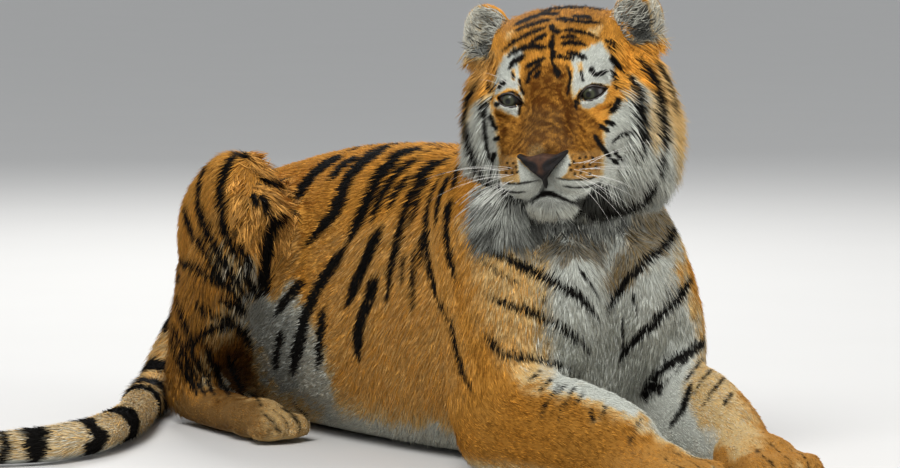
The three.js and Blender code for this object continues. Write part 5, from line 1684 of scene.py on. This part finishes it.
def eyePiece(name, sign, oldNode):
    # a round eye with a raised clear front, its ring kept as an attribute
    rings, sides = eyeSize["rings"], eyeSize["sides"]
    theta = np.linspace(0, math.pi, rings + 1)[1:-1]
    phi = np.linspace(0, 2 * math.pi, sides, endpoint=False)
    t, f = np.meshgrid(theta, phi, indexing="ij")
    radius = eyeSize["radius"] + eyeSize["bulge"] * smoothStep(0.62, 0.25, t)
    ring = (radius * np.sin(t) * np.cos(f), radius * np.sin(t) * np.sin(f), radius * np.cos(t))
    local = np.stack(ring, axis=-1).reshape(-1, 3)
    local = np.concatenate([local,
                            [(0, 0, eyeSize["radius"] + eyeSize["bulge"]), (0, 0, -eyeSize["radius"])]])
    angle = np.concatenate([t.ravel(), [0, math.pi]])
    gaze = unit(np.array(eyeSize["gaze"]))
    side = unit(np.cross((0, 1.0, 0), gaze))
    spin = np.stack([side, np.cross(gaze, side), gaze])
    middle = np.array((sign * eyeSize["aside"], eyeSize["up"], -eyeSize["depth"]))
    points = fromHead(local @ spin + middle)
    quads = []
    for r in range(rings - 2):
        a = r * sides + np.arange(sides)
        b = r * sides + (np.arange(sides) + 1) % sides
        quads += [np.stack([a, a + sides, b + sides], axis=1), np.stack([a, b + sides, b], axis=1)]
    top, bottom = len(points) - 2, len(points) - 1
    a, b = np.arange(sides), (np.arange(sides) + 1) % sides
    last = (rings - 2) * sides
    quads.append(np.stack([np.full(sides, top), a, b], axis=1))
    quads.append(np.stack([np.full(sides, bottom), last + b, last + a], axis=1))
    mesh = meshOf(name, points, np.concatenate(quads))
    keep(mesh, "ring", "FLOAT", angle / math.pi)
    piece = objectOf(name, mesh, eyeFinish)
    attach(piece, "root")
    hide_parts(oldNode)


eyeTones = (
    (0.0, (0.003, 0.003, 0.003, 1)), (0.056, (0.003, 0.003, 0.003, 1)), (0.066, (0.026, 0.028, 0.015, 1)),
    (0.115, (0.046, 0.049, 0.027, 1)), (0.150, (0.022, 0.023, 0.013, 1)), (0.180, (0.006, 0.006, 0.005, 1)),
    (0.26, (0.012, 0.008, 0.006, 1)),
)


def makeEyes():
    for sign, side in ((-1, "right"), (1, "left")):
        eyePiece(f"{side}_eyeball", sign, f"{side}_eye")


def eyeMaterial():
    eye = Finish("eye_glass")
    ring = eye.reading("ring")
    streaks = eye.noise(900.0, 3.0)
    base = eye.ramp(ring + (streaks - 0.5) * 0.012, eyeTones)
    dimmed = eye.blend(1.0, base, (0.45, 0.45, 0.42, 1), "MULTIPLY")
    return eye.set(Base_Color=eye.blend(streaks * 0.6, base, dimmed), Roughness=0.35,
                   Specular_IOR_Level=0.15, Coat_Weight=0.22, Coat_Roughness=0.03)


def netPiece(name, fieldOf, low, high, step, material, oldNode=None):
    corners, faces = fieldNet(fieldOf, low, high, step)
    corners = blur(corners, edgesOf(faces), 1, 0.4)
    piece = objectOf(name, meshOf(name, fromHead(corners), faces), material)
    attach(piece, "root")
    if oldNode:
        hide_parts(oldNode)
    return piece


def noseMaterial():
    leather = Finish("nose_leather")
    local = leather.reading("dark")
    grain = leather.node("ShaderNodeTexVoronoi", None, {"Vector": leather.place(), "Scale": 850.0})
    blotch = leather.noise(130.0, 4.0, 0.65)
    warm = leather.blend(blotch, (0.080, 0.034, 0.017, 1), (0.008, 0.005, 0.004, 1))
    tone = leather.blend(local + (blotch - 0.5) * 0.7, warm, (0.006, 0.005, 0.005, 1))
    return leather.set(Base_Color=tone, Roughness=0.55 + blotch * 0.2, Specular_IOR_Level=0.18,
                       Normal=leather.bump(grain, 0.35, 0.0006))


def makeNose():
    low = [a - b - 0.004 for a, b in zip(noseMake["middle"], noseMake["half"])]
    high = [a + b + 0.006 for a, b in zip(noseMake["middle"], noseMake["half"])]
    nose = netPiece("nose_leather", noseField, low, high, noseMake["step"], noseMaterial(), "nose")
    corners, _ = arraysOf(nose.data)
    q = toHead(corners)
    side = np.abs(q[:, 0] + muzzleShift["by"])
    edge = np.array(noseMake["edge"])[::-1]
    rim = smoothStep(0.013, 0.003, np.interp(q[:, 1], edge[:, 0], edge[:, 1]) - side)
    folded = np.stack([side, q[:, 1], q[:, 2]], axis=1)
    # the nostrils darker than the leather around them: dark rims and painted shade inside the openings
    hole = smoothStep(0.011, 0.006, tubeField(folded, np.array(noseMake["nostril"]), (0.002,) * 4))
    dark = np.maximum(np.maximum(rim, hole), smoothStep(-0.104, -0.114, q[:, 1]))
    keep(nose.data, "dark", "FLOAT", dark)
    print("nose of", len(nose.data.polygons), "faces")


whiskerMake = {
    "radius": 0.00029, "droop": 0.26, "sides": 5, "rows": 4, "seed": 5, "perRow": 4, "long": (0.075, 0.125),
    "tint": (0.70, 0.69, 0.65, 1),
}


def whiskerTree():
    # bristles along the points' aim, tapered, with a droop
    tree = bpy.data.node_groups.new("whisker_rows", "GeometryNodeTree")
    face = tree.interface
    face.new_socket("Geometry", in_out="INPUT", socket_type="NodeSocketGeometry")
    for name, value in (("Radius", whiskerMake["radius"]), ("Droop", whiskerMake["droop"])):
        face.new_socket(name, in_out="INPUT", socket_type="NodeSocketFloat").default_value = value
    face.new_socket("Sides", in_out="INPUT",
                    socket_type="NodeSocketInt").default_value = whiskerMake["sides"]
    face.new_socket("Material", in_out="INPUT", socket_type="NodeSocketMaterial")
    face.new_socket("Geometry", in_out="OUTPUT", socket_type="NodeSocketGeometry")

    def add(kind, settings=None, **sockets):
        made = tree.nodes.new(kind)
        for name, value in (settings or {}).items():
            setattr(made, name, value)
        for name, value in sockets.items():
            socket = made.inputs[name.replace("_", " ")]
            if isinstance(value, bpy.types.NodeSocket):
                tree.links.new(value, socket)
            else:
                socket.default_value = value
        return made

    given = tree.nodes.new("NodeGroupInput")
    bow = add("ShaderNodeCombineXYZ", None, X=given.outputs["Droop"], Z=1.0)
    half = add("ShaderNodeCombineXYZ", None, Z=0.55)
    line = add("GeometryNodeCurveQuadraticBezier", None, Resolution=9, Start=(0, 0, 0),
               Middle=half.outputs[0], End=bow.outputs[0])
    along = add("GeometryNodeSplineParameter")
    taper = add("ShaderNodeMapRange", None, Value=along.outputs[0], To_Min=1.0, To_Max=0.12)
    spots = add("GeometryNodeInputNamedAttribute", {"data_type": "FLOAT_VECTOR"}, Name="aim")
    reach = add("GeometryNodeInputNamedAttribute", {"data_type": "FLOAT"}, Name="reach")
    aimed = add("FunctionNodeAlignRotationToVector", {"axis": "Z"}, Vector=spots.outputs[0])
    turned = add("FunctionNodeAlignRotationToVector", {"axis": "X", "pivot_axis": "Z"},
                 Rotation=aimed.outputs[0], Vector=(0, 0, -1))
    each = add("GeometryNodeInstanceOnPoints", None, Points=given.outputs["Geometry"],
               Instance=line.outputs[0], Rotation=turned.outputs[0], Scale=reach.outputs[0])
    real = add("GeometryNodeRealizeInstances", None, Geometry=each.outputs[0])
    ring = add("GeometryNodeCurvePrimitiveCircle", None, Resolution=given.outputs["Sides"],
               Radius=given.outputs["Radius"])
    shaped = add("GeometryNodeCurveToMesh", None, Curve=real.outputs[0], Profile_Curve=ring.outputs[0],
                 Scale=taper.outputs[0], Fill_Caps=True)
    last = add("GeometryNodeRealizeInstances", None, Geometry=shaped.outputs[0])
    painted = add("GeometryNodeSetMaterial", None, Geometry=last.outputs[0],
                  Material=given.outputs["Material"])
    out = tree.nodes.new("NodeGroupOutput")
    tree.links.new(painted.outputs[0], out.inputs[0])
    return tree


def bristles(name, roots, aims, reach, material, radius, droop):
    points = bpy.data.meshes.new(name + "_roots")
    points.from_pydata([tuple(p) for p in roots], [], [])
    keep(points, "aim", "FLOAT_VECTOR", aims)
    keep(points, "reach", "FLOAT", reach)
    holder = objectOf(name + "_holder", points)
    maker = holder.modifiers.new("rows", "NODES")
    tree = whiskerTree()
    maker.node_group = tree
    inputs = {item.name: item.identifier for item in tree.interface.items_tree if item.in_out == "INPUT"}
    maker[inputs["Radius"]] = radius
    maker[inputs["Droop"]] = droop
    maker[inputs["Material"]] = material
    graph = bpy.context.evaluated_depsgraph_get()
    mesh = bpy.data.meshes.new_from_object(holder.evaluated_get(graph))
    bpy.data.objects.remove(holder)
    piece = objectOf(name, mesh)
    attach(piece, "root")
    print(name, "of", len(mesh.polygons), "faces")


def makeWhiskers():
    rng = np.random.default_rng(whiskerMake["seed"])
    tint = Finish("whisker")
    streak = tint.noise(60.0, 2.0)
    material = tint.set(Base_Color=tint.blend(streak, whiskerMake["tint"], (0.55, 0.53, 0.48, 1)),
                        Roughness=0.35)
    roots, aims, reach = [], [], []
    for sign in (1, -1):
        for row in range(whiskerMake["rows"]):
            for n in range(whiskerMake["perRow"]):
                start = np.array((sign * (0.045 + 0.0075 * n) - muzzleShift["by"],
                                  -0.098 - 0.0085 * row - 0.001 * n, 0.10))
                spot, _, _, _ = skinTree.ray_cast(Vector(fromHead(start)), Vector(headAxes[2] * -1))
                if spot is None:
                    continue
                out = np.array((sign * (0.80 + 0.10 * n), 0.22 - 0.26 * row + 0.04 * n, 0.34 - 0.13 * n))
                out = unit(out + 0.10 * rng.normal(size=3))
                roots.append(np.array(spot) - headAxes[2] * 0.001)
                aims.append(out @ headAxes)
                reach.append(rng.uniform(*whiskerMake["long"]) * (1 - 0.06 * row))
        for n in range(5):
            start = np.array((sign * (0.046 + 0.006 * n), 0.020 + 0.004 * (n % 2), 0.06))
            spot, _, _, _ = skinTree.ray_cast(Vector(fromHead(start)), Vector(headAxes[2] * -1))
            if spot is not None:
                out = unit(np.array((sign * (0.25 + 0.15 * n), 0.8, 0.55)) + 0.08 * rng.normal(size=3))
                roots.append(np.array(spot))
                aims.append(out @ headAxes)
                reach.append(rng.uniform(0.030, 0.050))
    bristles("whiskers", roots, np.array(aims), np.array(reach), material, whiskerMake["radius"],
             whiskerMake["droop"])


rimMake = {
    "above": 0.0022, "half": 0.0015, "step": 0.0010, "low": (-0.095, -0.020, -0.02),
    "high": (0.095, 0.020, 0.012),
}


def makeRims():
    # dark wet rims along the lids
    dark = Finish("rim_skin")
    grain = dark.noise(300.0, 3.0)
    material = dark.set(Base_Color=dark.blend(grain, (0.012, 0.009, 0.008, 1), (0.035, 0.024, 0.020, 1)),
                        Roughness=0.30 + grain * 0.15)

    def lidTube(q):
        field = np.full(len(q), 9.0)
        for sign in (1, -1):
            for edge in lidEdges.values():
                path = np.array([(sign * (eyeSize["aside"] + a), b, 0.0) for a, b in finer(edge, 0.002)])
                flat = np.hypot(path[:, 0] - sign * eyeSize["aside"], path[:, 1])
                over = (eyeSize["radius"] + rimMake["above"]) ** 2 - flat**2
                path[:, 2] = np.sqrt(np.maximum(over, 1e-6)) - eyeSize["depth"]
                field = np.minimum(field, tubeField(q, path, [rimMake["half"]] * len(path)))
        return field

    netPiece("eye_rims", lidTube, rimMake["low"], rimMake["high"], rimMake["step"], material)


eyeFinish = eyeMaterial()
makeEyes()
makeNose()
makeRims()
makeWhiskers()

stageMake = {
    "floor": (0.56, 0.55, 0.53, 1), "speck": (0.48, 0.47, 0.45, 1), "reach": 60, "aim": (0, 0, 0.3),
    "lights": (
        ("key", (-3.2, -2.2, 4.2), 300, 2.4), ("fill", (2.6, -4.6, 1.5), 165, 3.2),
        ("back", (1.8, 3.6, 3.4), 150, 2.2),
    ),
    "sky": (0.90, 0.93, 0.97, 1), "skyStrength": 0.62,
}


def stage():
    plaster = Finish("floor")
    speck = plaster.noise(3.0, 4.0)
    tone = plaster.blend(speck * 0.2, stageMake["floor"], stageMake["speck"])
    material = plaster.set(Base_Color=tone, Roughness=0.8)
    mesh = bpy.data.meshes.new("floor")
    far = stageMake["reach"]
    mesh.from_pydata([(-far, -far, 0), (far, -far, 0), (far, far, 0), (-far, far, 0)], [], [(0, 1, 2, 3)])
    objectOf("floor", mesh, material)
    for name, place, power, size in stageMake["lights"]:
        light = bpy.data.lights.new(name, "AREA")
        light.energy, light.size = power, size
        lamp = bpy.data.objects.new(name, light)
        lamp.location = place
        aim = Vector(stageMake["aim"]) - Vector(place)
        lamp.rotation_euler = aim.to_track_quat("-Z", "Y").to_euler()
        bpy.context.scene.collection.objects.link(lamp)
    world = bpy.data.worlds.new("world")
    world.use_nodes = True
    sky = world.node_tree.nodes["Background"]
    sky.inputs[0].default_value = stageMake["sky"]
    sky.inputs[1].default_value = stageMake["skyStrength"]
    bpy.context.scene.world = world
    bpy.context.scene.view_settings.view_transform = "Standard"


stage()
